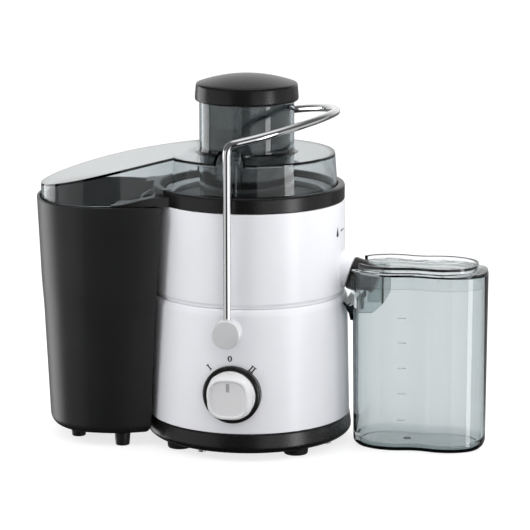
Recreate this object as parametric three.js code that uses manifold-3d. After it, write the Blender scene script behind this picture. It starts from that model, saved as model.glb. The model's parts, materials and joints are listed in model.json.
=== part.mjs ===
// Centrifugal juicer with a pulp bin on its left and a juice jug on its right.
// Millimetres, +Z up, front at -Y. The model stands on z = 0, centred under its bounding box.
import * as THREE from 'three';
import { mergeVertices } from 'three/addons/utils/BufferGeometryUtils.js';
import Module from 'manifold-3d';

const wasm = await Module();
wasm.setup();

// ---------------------------------------------------------------- driving dimensions
const GAP = 0.3;                 // between neighbouring pieces
const ROUND = 40;                // segments of the big round pieces
const SMALL = 18;                // segments of pins and bushes

const FOOT = { height: 5.8, radius: 9, circle: 64 };
const BASE = { top: 21, bottomRadius: 79.2, topRadius: 77.8, wall: 2.6, ventX: [-24, -12, 0, 12, 24] };
const SCREW = {
  circle: 69.2, turn: 25, shank: 1.7, hole: 2.1, head: 3.4, headBottom: 3.2, top: 24, post: 4.6,
};
const HOUSING = {
  top: 116, bottomRadius: 77.6, topRadius: 75.2, wall: 2.6, deck: 107.2, deckThick: 2.8, bore: 9.3,
};
const COLLECTOR = { top: 187.9, bottomRadius: 74.2, topRadius: 73.2, wall: 2.4, floor: 124 };
COLLECTOR.neck = { radius: 21.6, bore: 19.4, top: 138 };
const RING = { bottom: 188.2, top: 199.8, radius: 73.2, ledge: 194.2, bore: 68, step: 65.2 };
const LID = { bottom: 196.8, top: 223.9, bottomRadius: 67.6, topRadius: 65.6, wall: 2.2 };
const CHUTE = { x: -1.8, radius: 36.2, wall: 2.2, bottom: 158, top: 262.9 };
const LUG = { half: 12, low: 219, high: 235.6, start: 34, end: 64, wall: 2 };
const PUSHER = { radius: 33.5, wall: 2, bottom: 160.5, keyHalf: 2.6, keyTurn: 10 };
const CAP = { bottom: 263.4, rim: 275.6, top: 283, radius: 39.6 };
const BASKET = {
  floor: 150, floorRadius: 38, top: 190, topRadius: 60, wall: 1.2, rimTop: 195.5, rimRadius: 64,
};
const HUB = { bore: 14.2, radius: 16.6, bottom: 113, boreTop: 130, neck: 140, flare: 145 };
const SHAFT = { radius: 4, bottom: 18, top: 124.6 };
const STATOR = { radius: 40, bore: 24, bottom: 42, top: 72 };
const FAN = { radius: 28, bottom: 76, plate: 1.6, hub: 9, top: 86, blades: 9 };
const BEARING = { radius: 8, upper: [89, 94], lower: [21.5, 26.5] };
const BRUSH = { bottom: 31, top: 38.6, half: 3.4, inner: 10.9, outer: 25 };
const DIAL = { x: 2.4, z: 51.8, radius: 22, back: 70, lip: 79, face: 80.6, well: 76, rim: 3, bore: 4 };
const KNOB = {
  back: 76.6, skirt: 18.7, skirtTop: 83, root: 16.6, waist: 15.4, waistAt: 90, face: 93, front: 14.4,
  dish: 12.6, dishFloor: 91.6, corner: 3.2,
};
const SPINDLE = { radius: 3, back: 69.9, front: 82, socket: 3.3 };
const BAIL = { rod: 3, y: 81.5, pivotZ: 99.7, bendZ: 241, loopZ: 255.8, loopX: 67, point: 1.6 };
const BUTTON = { radius: 10.8, inner: 78.6, outer: 88.4, pin: 3.6, back: 62 };
const BUSH = { bore: 4, radius: 5.6, back: 68, collar: 9.4, shoulder: 76.6, hole: 6 };
const SPOUT = { x: 79.2, z: 132.6, tilt: 17.2, stub: 9.8, groove: 8.5, bore: 7.8, nozzle: 12.6, length: 22 };
const BIN = {
  left: -165, halfWidth: 70.5, rim: 188.4, bottom: 10, wall: 2.4, hug: 81, frontX: -112, taper: 9, slim: 11,
  corner: 47, cornerTaper: 12, step: 1.2, stepLow: 107, stepHigh: 119,
};
const HORN = { end: -100, rise: -70, low: 189.9, high: 195.4, inner: 44 };
const COVER = { inset: 3.4, skirt: 188.8, wall: 2.2, leftTop: 196.6, bendX: -84, bendZ: 217, endX: -50 };
const JUG = { left: 81.4, right: 184.4, halfWidth: 34, waist: 4.5, top: 136, wall: 2.2, taper: 1.6 };
const JUG_LID = { flange: 138, rim: 142.8, wall: 1.8, skirt: 126, grow: 1.4, inset: 3.4 };
const NOTCH = { halfWidth: 16.5, bottom: 108, end: 107.2, wing: 1.2 };
const CORD_GLAND = { z: 32, reach: 93, hole: 6.3 };
const CENTRE_SHIFT = -(BIN.left + JUG.right + 1.6) / 2;

// ---------------------------------------------------------------- solids
function outward(geometry) {
  const p = geometry.getAttribute('position');
  const index = geometry.getIndex().array;
  const [a, b, c] = [0, 1, 2].map(() => new THREE.Vector3());
  let volume = 0;
  for (let i = 0; i < index.length; i += 3) {
    a.fromBufferAttribute(p, index[i]);
    b.fromBufferAttribute(p, index[i + 1]);
    c.fromBufferAttribute(p, index[i + 2]);
    volume += a.dot(b.cross(c));
  }
  if (volume < 0) {
    for (let i = 0; i < index.length; i += 3) {
      [index[i], index[i + 1]] = [index[i + 1], index[i]];
    }
  }
  return geometry;
}

// Position-only geometry with shared vertices and no zero-area triangles, faces pointing out.
// The result of a join or cut already is that.
function closed(geometry) {
  if (geometry.userData.closed) {
    return geometry;
  }
  const bare = geometry.clone();
  for (const name of ['normal', 'uv']) {
    bare.deleteAttribute(name);
  }
  const merged = mergeVertices(bare, 1e-4);
  const old = merged.getIndex().array;
  const kept = [];
  for (let i = 0; i < old.length; i += 3) {
    const [a, b, c] = [old[i], old[i + 1], old[i + 2]];
    if (a !== b && b !== c && c !== a) {
      kept.push(a, b, c);
    }
  }
  merged.setIndex(kept);
  return outward(merged);
}

function solid(geometry) {
  const g = closed(geometry);
  return new wasm.Manifold(new wasm.Mesh({
    numProp: 3,
    vertProperties: new Float32Array(g.getAttribute('position').array),
    triVerts: new Uint32Array(g.getIndex().array),
  }));
}

function geometryOf(manifold) {
  const mesh = manifold.getMesh();
  const g = new THREE.BufferGeometry();
  g.setAttribute('position', new THREE.BufferAttribute(new Float32Array(mesh.vertProperties), 3));
  g.setIndex(Array.from(mesh.triVerts));
  g.userData.closed = true;
  return g;
}

function joined(first, ...others) {
  return geometryOf(others.reduce((sum, g) => sum.add(solid(g)), solid(first)));
}

function cut(first, ...others) {
  return geometryOf(others.reduce((rest, g) => rest.subtract(solid(g)), solid(first)));
}

function common(first, second) {
  return geometryOf(solid(first).intersect(solid(second)));
}

// Solid of revolution about Z from [radius, z] points.
function turned(points, segments = ROUND, closeProfile = false) {
  const profile = points.map(([r, z]) => new THREE.Vector2(r, z));
  if (closeProfile) {
    profile.push(profile[0].clone());
  }
  return new THREE.LatheGeometry(profile, segments).rotateX(Math.PI / 2);
}

function tube(outer, inner, z0, z1, segments = ROUND) {
  return turned([[inner, z0], [outer, z0], [outer, z1], [inner, z1]], segments, true);
}

function rod(radius, z0, z1, segments = SMALL) {
  return turned([[0, z0], [radius, z0], [radius, z1], [0, z1]], segments);
}

// Turns a solid built along +Z, with +Y up, so that +Z points to the front (-Y) or the rear (+Y).
function facing(side, geometry, z = 0) {
  return geometry.rotateX(Math.PI / 2).rotateZ(side === 'front' ? 0 : Math.PI).translate(0, 0, z);
}

function box(x0, x1, y0, y1, z0, z1) {
  return new THREE.BoxGeometry(x1 - x0, y1 - y0, z1 - z0)
    .translate((x0 + x1) / 2, (y0 + y1) / 2, (z0 + z1) / 2);
}

// Closed solid through rings of equal length, each end closed by a fan to its centre.
function loft(rings) {
  const count = rings[0].length;
  const points = rings.flat();
  const index = [];
  for (let k = 0; k + 1 < rings.length; k += 1) {
    for (let i = 0; i < count; i += 1) {
      const j = (i + 1) % count;
      const [a, b, c, d] = [k * count + i, k * count + j, (k + 1) * count + j, (k + 1) * count + i];
      index.push(a, b, c, a, c, d);
    }
  }
  for (const [ring, start] of [[rings[0], 0], [rings.at(-1), (rings.length - 1) * count]]) {
    const centre = ring.reduce((sum, p) => sum.add(p), new THREE.Vector3()).divideScalar(count);
    points.push(centre);
    for (let i = 0; i < count; i += 1) {
      const [p, q] = [start + i, start + (i + 1) % count];
      index.push(...(start === 0 ? [points.length - 1, q, p] : [points.length - 1, p, q]));
    }
  }
  const g = new THREE.BufferGeometry().setFromPoints(points);
  g.setIndex(index);
  return outward(g);
}

const model = new THREE.Group();
model.position.x = CENTRE_SHIFT;

function material(color, roughness, metalness = 0, opacity = 1) {
  return new THREE.MeshStandardMaterial({
    color, roughness, metalness, opacity, transparent: opacity < 1,
  });
}

const WHITE = material(0xf1f1f3, 0.35);
const BLACK = material(0x1b1a1a, 0.45);
const CHARCOAL = material(0x222324, 0.6);
const SMOKE = material(0x55666b, 0.08, 0, 0.35);
const SILVER = material(0xc9cccf, 0.3, 0.6);
const CHROME = material(0xe4e6e8, 0.08, 1);
const STEEL = material(0xb9bcbf, 0.35, 0.9);
const RUBBER = material(0x151515, 0.9);
const COPPER = material(0xb87333, 0.4, 0.8);
const CARBON = material(0x2e2e30, 0.8);
const BRASS = material(0xc9a54a, 0.35, 0.9);

function part(name, geometry, look) {
  const mesh = new THREE.Mesh(closed(geometry), look);
  mesh.name = name;
  model.add(mesh);
}

const SIDES = ['front', 'rear'];
const QUARTERS = [['front_left', 225], ['front_right', 315], ['rear_right', 45], ['rear_left', 135]];

function onCircle(radius, degrees) {
  const a = THREE.MathUtils.degToRad(degrees);
  return [radius * Math.cos(a), radius * Math.sin(a)];
}

// ---------------------------------------------------------------- base, feet and screws
function baseTray() {
  const { top, bottomRadius, topRadius, wall, ventX } = BASE;
  const floor = FOOT.height;
  const tray = turned([
    [0, floor], [bottomRadius - 4, floor], [bottomRadius - 1, floor + 1.2], [bottomRadius, floor + 4],
    [topRadius, top], [topRadius - wall, top], [bottomRadius - wall, floor + wall], [0, floor + wall],
  ]);
  const holes = QUARTERS.map(([, angle]) => {
    const [x, y] = onCircle(SCREW.circle, angle + SCREW.turn);
    return rod(SCREW.hole, 0, top, 12).translate(x, y, 0);
  });
  const vents = ventX.map((x) => box(x - 2, x + 2, -26, 26, 0, floor + wall + 1));
  return cut(tray, ...holes, ...vents);
}
part('base_tray', baseTray(), BLACK);

for (const [corner, angle] of QUARTERS) {
  const [x, y] = onCircle(FOOT.circle, angle);
  const { height, radius } = FOOT;
  const foot = turned([
    [0, 0], [radius - 1.5, 0], [radius, 1.2], [radius + 0.6, height - GAP], [0, height - GAP],
  ], SMALL);
  part(`foot_${corner}`, foot.translate(x, y, 0), RUBBER);
  const [sx, sy] = onCircle(SCREW.circle, angle + SCREW.turn);
  const screw = turned([
    [0, SCREW.headBottom], [SCREW.head, SCREW.headBottom], [SCREW.head, height - GAP],
    [SCREW.shank, height - GAP], [SCREW.shank, SCREW.top], [0, SCREW.top + 1],
  ], 12);
  part(`base_screw_${corner}`, screw.translate(sx, sy, 0), STEEL);
}

// ---------------------------------------------------------------- motor housing
function motorHousing() {
  const { top, bottomRadius, topRadius, wall, deck, deckThick, bore } = HOUSING;
  const bottom = BASE.top + GAP;
  const shell = turned([
    [bottomRadius - wall, bottom], [bottomRadius, bottom], [topRadius + 0.5, top - 3], [topRadius - 0.9, top],
    [topRadius - wall, top], [topRadius - wall, deck + deckThick], [bore, deck + deckThick], [bore, deck],
    [topRadius - wall, deck],
  ], ROUND, true);
  const bossTop = 44;
  const bosses = QUARTERS.flatMap(([, angle]) => {
    const turn = THREE.MathUtils.degToRad(angle + SCREW.turn);
    const post = rod(SCREW.post, FOOT.height + BASE.wall + GAP, bossTop, 12).translate(SCREW.circle, 0, 0);
    const rib = box(SCREW.circle, bottomRadius - 1.5, -2, 2, bottom + 1, bossTop);
    return [post.rotateZ(turn), rib.rotateZ(turn)];
  });
  const screwHoles = QUARTERS.map(([, angle]) => {
    const [x, y] = onCircle(SCREW.circle, angle + SCREW.turn);
    return rod(SCREW.hole, 0, SCREW.top + 6, 12).translate(x, y, 0);
  });
  const hole = (radius, segments) => rod(radius, 60, 90, segments);
  const dialHole = facing('front', hole(DIAL.radius + GAP, ROUND), DIAL.z).translate(DIAL.x, 0, 0);
  const pivotHoles = SIDES.map((side) => facing(side, hole(BUSH.hole), BAIL.pivotZ));
  const glandHole = facing('rear', hole(CORD_GLAND.hole), CORD_GLAND.z);
  return cut(joined(shell, ...bosses), ...screwHoles, dialHole, ...pivotHoles, glandHole);
}
part('motor_housing', motorHousing(), WHITE);

part('cord_gland', facing('rear', turned([
  [3.6, 70], [6, 70], [6, 78.6], [8.5, 78.6], [8.5, 81], [6.4, 84], [5.2, CORD_GLAND.reach],
  [3.6, CORD_GLAND.reach],
], SMALL, true), CORD_GLAND.z), BLACK);

// ---------------------------------------------------------------- motor and drive
const SHAFT_HOLE = SHAFT.radius + GAP;
part('motor_shaft', rod(SHAFT.radius, SHAFT.bottom, SHAFT.top), STEEL);
part('stator', tube(STATOR.radius, STATOR.bore, STATOR.bottom, STATOR.top, 32), STEEL);
part('armature', tube(STATOR.bore - 1.2, SHAFT_HOLE, STATOR.bottom + 1, STATOR.top - 1, 32), COPPER);
part('commutator', tube(BRUSH.inner - 0.4, SHAFT_HOLE, BRUSH.bottom - 1, BRUSH.top + 1.4), BRASS);

function coolingFan() {
  const { radius, bottom, plate, hub, top, blades } = FAN;
  const disc = tube(radius, SHAFT_HOLE, bottom, bottom + plate, 32);
  const core = tube(hub, SHAFT_HOLE, bottom, top, SMALL);
  const vanes = Array.from({ length: blades }, (_, i) => (
    box(hub - 1, radius - 0.5, -0.9, 0.9, bottom + 1, top - 1).rotateZ(i * 2 * Math.PI / blades)));
  return joined(disc, core, ...vanes);
}
part('cooling_fan', coolingFan(), BLACK);

// End bracket: a plate with a bearing seat, and four posts that clamp the stator.
function bracket([plateBottom, plateTop], postEnd) {
  const plate = tube(STATOR.radius, BEARING.radius + GAP, plateBottom, plateTop, 32);
  const [z0, z1] = postEnd > plateTop ? [plateBottom, postEnd] : [postEnd, plateTop];
  const posts = [0, 1, 2, 3].map((i) => box(31, 38, -4, 4, z0, z1).rotateZ(i * Math.PI / 2));
  return joined(plate, ...posts);
}
const LOWER_PLATE = [22, 26];
part('motor_bracket_upper', bracket(BEARING.upper, STATOR.top + GAP), STEEL);
part('motor_bracket_lower', bracket(LOWER_PLATE, STATOR.bottom - GAP), STEEL);
part('bearing_upper', tube(BEARING.radius, SHAFT_HOLE, ...BEARING.upper, SMALL), STEEL);
part('bearing_lower', tube(BEARING.radius, SHAFT_HOLE, ...BEARING.lower, SMALL), STEEL);
part('motor_mount', tube(34, 22, BEARING.upper[1] + GAP, HOUSING.deck - GAP, 32), RUBBER);
part('shaft_seal', tube(HOUSING.bore - GAP, SHAFT_HOLE + 0.2, HOUSING.deck, 111, SMALL), RUBBER);

for (const side of SIDES) {
  const { bottom, top, half, inner, outer } = BRUSH;
  const across = (near, far) => (side === 'front' ? [-far, -near] : [near, far]);
  const block = box(-5, 5, ...across(14, 28), LOWER_PLATE[1] + GAP, top + 1.4);
  part(`brush_holder_${side}`, cut(block, box(-half, half, ...across(13, 29), bottom, top)), BLACK);
  const brush = box(GAP + 0.1 - half, half - GAP - 0.1, ...across(inner, outer), bottom + 0.4, top - 0.4);
  part(`carbon_brush_${side}`, brush, CARBON);
}

// Six-sided drive coupling on the shaft end.
part('drive_coupling', cut(
  new THREE.CylinderGeometry(12, 13, 16, 6).rotateX(Math.PI / 2).translate(0, 0, 119.6),
  rod(SHAFT_HOLE, 100, SHAFT.top + 0.4),
), BLACK);

// ---------------------------------------------------------------- juice collector and spout
const SPOUT_TURN = THREE.MathUtils.degToRad(90 + SPOUT.tilt);

// Puts a solid built along +Z onto the spout's axis, z = 0 at the nozzle's inner face.
function onSpout(geometry) {
  return geometry.rotateY(SPOUT_TURN).translate(SPOUT.x, 0, SPOUT.z);
}

function juiceCollector() {
  const { top, bottomRadius, topRadius, wall, floor, neck } = COLLECTOR;
  const bottom = HOUSING.top + 1;
  const bowl = turned([
    [bottomRadius - wall, bottom], [bottomRadius - 1, bottom], [bottomRadius, bottom + 2.4], [topRadius, top],
    [topRadius - wall, top], [bottomRadius - wall, floor + wall], [neck.radius, floor + wall],
    [neck.radius, neck.top], [neck.bore, neck.top], [neck.bore, floor], [bottomRadius - wall, floor],
  ], ROUND, true);
  const { stub: stubRadius, groove } = SPOUT;
  const stub = onSpout(turned([
    [0, -13], [14, -13], [12.4, -4], [12.2, -GAP], [stubRadius, -GAP], [stubRadius, 3.6], [groove, 3.6],
    [groove, 6], [stubRadius, 6], [stubRadius, 9], [0, 9],
  ], 32));
  const hollow = tube(200, topRadius - wall, 80, top + 1);
  const outside = common(stub, hollow);
  const bore = onSpout(rod(SPOUT.bore, -22, 12, 28));
  const skirtClear = box(-100, 100, -100, 100, 80, floor + 0.2);
  return cut(joined(bowl, outside), cut(bore, skirtClear));
}
part('juice_collector', juiceCollector(), WHITE);

part('spout_seal', onSpout(tube(SPOUT.stub + 0.1, SPOUT.groove + GAP, 3.9, 5.7, 28)), RUBBER);

function spoutNozzle() {
  const { nozzle, length, stub } = SPOUT;
  const body = turned([
    [stub + 0.4, 0.2], [nozzle, 0.2], [nozzle, 10.4], [nozzle - 1, 11], [nozzle - 1.2, length - 3],
    [nozzle - 3.4, length - 0.6], [0, length], [0, length - 2], [nozzle - 3.6, length - 3],
    [stub + 0.4, 10],
  ], 32, true);
  const outlet = box(0, 20, -7.5, 7.5, 12.6, 19.4);
  return onSpout(cut(body, outlet));
}
part('spout_nozzle', spoutNozzle(), BLACK);

// ---------------------------------------------------------------- pulp bin outline
// The bin's plan: half an ellipse on its left, a curve towards the body, and an arc around the body.
// inset moves the outline inwards, drop (0 at the rim, 1 at the bottom) draws it in.
function binOutline(inset, drop, hug) {
  const half = BIN.halfWidth - inset - drop * BIN.slim;
  const left = BIN.left + inset + drop * BIN.taper;
  const arcRadius = hug + inset;
  const angle = THREE.MathUtils.degToRad(BIN.corner - drop * BIN.cornerTaper) - inset / arcRadius;
  const [cornerX, cornerY] = [-arcRadius * Math.cos(angle), arcRadius * Math.sin(angle)];
  const shape = new THREE.Shape();
  shape.moveTo(-arcRadius, 0);
  shape.absarc(0, 0, arcRadius, Math.PI, Math.PI - angle, true);
  shape.bezierCurveTo(cornerX - 13, cornerY + 6, BIN.frontX + 22, half, BIN.frontX, half);
  shape.absellipse(BIN.frontX, 0, BIN.frontX - left, half, Math.PI / 2, Math.PI, false, 0);
  const upper = shape.getPoints(7);
  return [...upper, ...upper.slice(1, -1).reverse().map((p) => new THREE.Vector2(p.x, -p.y))];
}

function binRing(inset, drop, z, hug = BIN.hug) {
  const height = typeof z === 'function' ? z : () => z;
  return binOutline(inset, drop, hug).map((p) => new THREE.Vector3(p.x, p.y, height(p.x)));
}

function pulpBin() {
  const { rim, bottom, wall, step, stepLow, stepHigh } = BIN;
  const at = (z) => (rim - z) / (rim - bottom);
  const outer = loft([
    binRing(6, 1, bottom), binRing(step + 1.6, 1, bottom + 2), binRing(step, at(bottom + 7), bottom + 7),
    binRing(step, at(stepLow), stepLow), binRing(0, at(stepHigh), stepHigh), binRing(0, 0, rim),
  ]);
  const inner = loft([
    binRing(wall + 5, 1, bottom + wall), binRing(wall + step, at(bottom + 9), bottom + 9),
    binRing(wall + step, at(stepLow), stepLow), binRing(wall, at(stepHigh), stepHigh), binRing(wall, 0, rim),
    binRing(wall, 0, rim + 5),
  ]);
  return cut(outer, inner);
}
part('pulp_bin', pulpBin(), CHARCOAL);

const BIN_FOOT = { radius: 5.2, spread: 1, places: {
  front_left: [-130, -28], front_right: [-90, -47], rear_right: [-90, 47], rear_left: [-130, 28],
} };
for (const [corner, [x, y]] of Object.entries(BIN_FOOT.places)) {
  const { radius, spread } = BIN_FOOT;
  const peg = turned([
    [0, 0], [radius, 0], [radius + 0.6, 1], [radius + spread, BIN.bottom - GAP], [0, BIN.bottom - GAP],
  ], 16);
  part(`bin_foot_${corner}`, peg.translate(x, y, 0), CHARCOAL);
}

// ---------------------------------------------------------------- black rim ring with its two pulp horns
// From the side their top edge rises in an S towards the body.
function hornEdge(shape, lift) {
  const { rise, end, low, high } = HORN;
  const count = 6;
  for (let i = 0; i <= count; i += 1) {
    const x = rise + i / count * (end - rise);
    const t = THREE.MathUtils.smoothstep(x, end, rise);
    shape.lineTo(x, low + t * (high - low) + lift);
  }
}

// Extrusion across the whole width (Y) of a side outline given in x and z.
function acrossY(shape, half) {
  return new THREE.ExtrudeGeometry(shape, { depth: 2 * half, bevelEnabled: false })
    .rotateX(Math.PI / 2).translate(0, half, 0);
}

function overHorns(lift) {
  const shape = new THREE.Shape();
  shape.moveTo(-220, 230);
  shape.lineTo(0, 230);
  shape.lineTo(0, HORN.high + lift);
  hornEdge(shape, lift);
  shape.lineTo(-220, HORN.low + lift);
  return acrossY(shape, 100);
}

function rimRing() {
  const { bottom, top, radius, ledge, bore, step } = RING;
  const ring = turned([
    [step, bottom], [radius, bottom], [radius, top - 1.5], [radius - 1.2, top], [bore, top], [bore, ledge],
    [step, ledge],
  ], ROUND, true);
  const hug = radius - 0.6;
  const slab = cut(loft([binRing(0, 0, BIN.rim + GAP, hug), binRing(0, 0, top, hug)]), overHorns(0));
  const pulpWay = box(-200, -radius + 6, -HORN.inner, HORN.inner, 150, 230);
  const beyond = box(-200, HORN.end, -100, 100, 150, 230);
  return joined(ring, cut(slab, pulpWay, beyond));
}
part('rim_ring', rimRing(), BLACK);
part('lid_seal', tube(RING.bore - 0.4, RING.step + GAP, RING.ledge + GAP, LID.bottom - GAP), RUBBER);

// ---------------------------------------------------------------- lid with feed chute and bin cover
const coverCurve = new THREE.QuadraticBezierCurve(
  new THREE.Vector2(BIN.left, COVER.leftTop), new THREE.Vector2(COVER.bendX, COVER.bendZ),
  new THREE.Vector2(COVER.endX, LID.top));

// Height of the bin cover's top over x, from its side curve.
function coverTop(x) {
  if (x > COVER.endX) {
    return LID.top;
  }
  const { v0, v1, v2 } = coverCurve;
  const a = v0.x - 2 * v1.x + v2.x;
  const b = 2 * (v1.x - v0.x);
  const t = (-b + Math.sqrt(b * b - 4 * a * (v0.x - x))) / (2 * a);
  return coverCurve.getPoint(t).y;
}

// Everything under the bin cover's lower edge, which clears the bin's rim and rests over the horns.
function underCover() {
  const shape = new THREE.Shape();
  shape.moveTo(-220, 150);
  shape.lineTo(0, 150);
  shape.lineTo(0, HORN.high + GAP);
  hornEdge(shape, GAP);
  shape.lineTo(HORN.end - 1, HORN.low + GAP);
  shape.lineTo(HORN.end - 1, COVER.skirt);
  shape.lineTo(-220, COVER.skirt);
  return acrossY(shape, 100);
}

function lid() {
  const { bottom, top, bottomRadius, topRadius, wall } = LID;
  const drum = turned([
    [0, bottom], [bottomRadius, bottom], [topRadius, top - 1.2], [topRadius - 1.2, top], [0, top],
  ]);
  const drumInside = turned([[0, 100], [bottomRadius - wall, 100], [bottomRadius - wall, bottom],
    [topRadius - wall, top - wall], [0, top - wall]]);
  const coverOutside = loft([
    binRing(COVER.inset, 0, 180, 56), binRing(COVER.inset, 0, coverTop, 56)]);
  const inset = COVER.inset + COVER.wall;
  const coverInside = loft([
    binRing(inset, 0, 150, 50), binRing(inset, 0, (x) => coverTop(x) - COVER.wall, 50)]);
  const cover = cut(coverOutside, underCover(), ringClearance());
  const bore = rod(CHUTE.radius - CHUTE.wall, 100, 300, 40).translate(CHUTE.x, 0, 0);
  const chute = cut(rod(CHUTE.radius, CHUTE.bottom, CHUTE.top, 40).translate(CHUTE.x, 0, 0), bore);
  const lugs = SIDES.map((side) => facing(side, lug(0)).translate(CHUTE.x, 0, 0));
  const lugInsides = SIDES.map((side) => facing(side, lug(LUG.wall)).translate(CHUTE.x, 0, 0));
  const skin = cut(joined(drum, cover, ...lugs), drumInside, coverInside, bore, ...lugInsides);
  return joined(skin, chute);
}

// Room for the rim ring, so that the bin cover's walls stay out of it.
function ringClearance() {
  const below = rod(RING.radius + 0.6, 150, LID.bottom, ROUND);
  return joined(tube(RING.radius + 0.6, LID.bottomRadius - 1, LID.bottom - 1, RING.top + GAP), below);
}

// Round-topped lug between the chute and the lid's edge, which the closed handle presses on. Its hollow is
// the same shape, smaller by the wall and open below.
function lug(wall) {
  const [half, high] = [LUG.half - wall, LUG.high - wall];
  const [start, end] = [LUG.start + wall, LUG.end - wall];
  const shape = new THREE.Shape();
  shape.moveTo(-half, LUG.low - 4 * wall);
  shape.lineTo(half, LUG.low - 4 * wall);
  shape.lineTo(half, high - half * 0.7);
  shape.quadraticCurveTo(half * 0.9, high, 0, high);
  shape.quadraticCurveTo(-half * 0.9, high, -half, high - half * 0.7);
  return new THREE.ExtrudeGeometry(shape, { depth: end - start, bevelEnabled: false, curveSegments: 6 })
    .translate(0, 0, start);
}
part('lid', lid(), SMOKE);

// ---------------------------------------------------------------- pusher
function pusherBody() {
  const { radius, wall, bottom, keyHalf, keyTurn } = PUSHER;
  const top = CAP.bottom - GAP;
  const cup = turned([
    [0, bottom], [radius - 1, bottom], [radius, bottom + 1], [radius, top], [radius - wall, top],
    [radius - wall, bottom + wall], [0, bottom + wall],
  ], 48);
  const key = box(-keyHalf, keyHalf, 1 - radius, 4.5 - radius, bottom + 1, top - 0.7)
    .rotateZ(THREE.MathUtils.degToRad(keyTurn));
  return joined(cup, key).translate(CHUTE.x, 0, 0);
}
part('pusher_body', pusherBody(), SMOKE);

part('pusher_cap', turned([
  [0, CAP.bottom], [CAP.radius - 0.8, CAP.bottom], [CAP.radius, CAP.bottom + 0.8],
  [CAP.radius - 0.4, CAP.rim - 1.5], [CAP.radius - 1.8, CAP.rim],
  [CAP.radius * 0.7, CAP.top - 3.2], [CAP.radius * 0.35, CAP.top - 0.8], [0, CAP.top],
], 48).translate(CHUTE.x, 0, 0), BLACK);

// ---------------------------------------------------------------- filter basket
// Grater plate of the basket's floor, with rings of raised teeth.
function graterDisc() {
  const { floor, floorRadius } = BASKET;
  const teeth = Array.from({ length: 12 }, (_, i) => {
    const near = 9 + (i % 3) * 6;
    return box(near, near + 4, -0.8, 0.8, floor + 1, floor + 2.6).rotateZ(i * Math.PI / 6);
  });
  return joined(tube(floorRadius - 1.6, 3, floor, floor + 1.2), ...teeth);
}
part('grater_disc', graterDisc(), STEEL);

function filterMesh() {
  const { floor, floorRadius, top, topRadius, wall } = BASKET;
  return turned([
    [floorRadius, floor + 1], [topRadius, top], [topRadius - wall, top], [floorRadius - wall, floor + 1],
  ], ROUND, true);
}
part('filter_mesh', filterMesh(), STEEL);
part('basket_rim', tube(BASKET.rimRadius, BASKET.topRadius - 3.4, BASKET.top + GAP, BASKET.rimTop), STEEL);

function basketHub() {
  const { bore, radius, bottom, boreTop, neck, flare } = HUB;
  const outer = BASKET.floorRadius;
  const seat = BASKET.floor - GAP;
  return turned([
    [bore, bottom], [radius, bottom], [radius, neck], [outer + 1, flare], [outer + 1, seat + 1],
    [outer - 1.2, seat + 1], [outer - 1.2, seat], [0, seat], [0, boreTop], [bore, boreTop],
  ], ROUND, true);
}
part('basket_hub', basketHub(), WHITE);

// ---------------------------------------------------------------- speed dial
part('dial_ring', facing('front', turned([
  [DIAL.bore, DIAL.back], [DIAL.radius, DIAL.back], [DIAL.radius, DIAL.lip], [DIAL.radius - 1.4, DIAL.face],
  [DIAL.radius - DIAL.rim, DIAL.face], [DIAL.radius - DIAL.rim, DIAL.well], [DIAL.bore, DIAL.well],
], 40, true), DIAL.z).translate(DIAL.x, 0, 0), BLACK);
const switchBody = box(-14, 14, GAP - DIAL.back, -52, DIAL.z - 14, DIAL.z + 14);
part('switch_body', switchBody.translate(DIAL.x, 0, 0), BLACK);
const spindle = rod(SPINDLE.radius, SPINDLE.back, SPINDLE.front);
part('switch_spindle', facing('front', spindle, DIAL.z).translate(DIAL.x, 0, 0), STEEL);

function superellipse(half, power, z) {
  return Array.from({ length: 40 }, (_, i) => {
    const a = i * Math.PI / 20;
    const [c, s] = [Math.cos(a), Math.sin(a)];
    return new THREE.Vector3(Math.sign(c) * half * Math.abs(c) ** (2 / power),
      Math.sign(s) * half * Math.abs(s) ** (2 / power), z);
  });
}

function knob() {
  const { back, skirt, skirtTop, root, waist, waistAt, face, front, dish, dishFloor, corner } = KNOB;
  const disc = turned([
    [0, back], [skirt - 0.5, back], [skirt, 80], [skirt - 0.4, skirtTop], [0, skirtTop],
  ]);
  const grip = loft([
    superellipse(root, corner, skirtTop - 1), superellipse(waist, corner, waistAt),
    superellipse(front, corner, face),
  ]);
  const recess = loft([
    superellipse(dish - 0.8, corner, dishFloor), superellipse(dish + 0.4, corner, face + 2),
  ]);
  const socket = rod(SPINDLE.socket, SPINDLE.back, SPINDLE.front + 0.4);
  return facing('front', cut(joined(disc, grip), recess, socket), DIAL.z).translate(DIAL.x, 0, 0);
}
part('knob', knob(), SILVER);

// ---------------------------------------------------------------- locking handle
// The handle's centre line, from the front pivot over the top to the rear pivot. Its loop lies in a plane
// that rises to the right, and is pointed a little.
function bailPath() {
  const { y, pivotZ, bendZ, loopZ, loopX, point } = BAIL;
  const slope = (loopZ - bendZ) / loopX;
  const [legBottom, legTop] = [pivotZ + 5, bendZ - 6];
  const path = [new THREE.Vector3(0, -y, legBottom), new THREE.Vector3(0, -y, legTop)];
  const turns = 20;
  for (let i = 1; i < turns; i += 1) {
    const t = i / turns * Math.PI;
    const x = loopX * Math.sin(t) ** (2 / point);
    const across = Math.sign(Math.cos(t)) * Math.abs(Math.cos(t)) ** (2 / point);
    path.push(new THREE.Vector3(x, -y * across, bendZ + slope * x));
  }
  path.push(new THREE.Vector3(0, y, legTop), new THREE.Vector3(0, y, legBottom));
  const straight = (a, b) => new THREE.LineCurve3(a, b);
  const curve = new THREE.CurvePath();
  curve.add(straight(path[0], path[1]));
  curve.add(new THREE.CatmullRomCurve3(path.slice(1, -1), false, 'centripetal'));
  curve.add(straight(path.at(-2), path.at(-1)));
  return curve;
}

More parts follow.
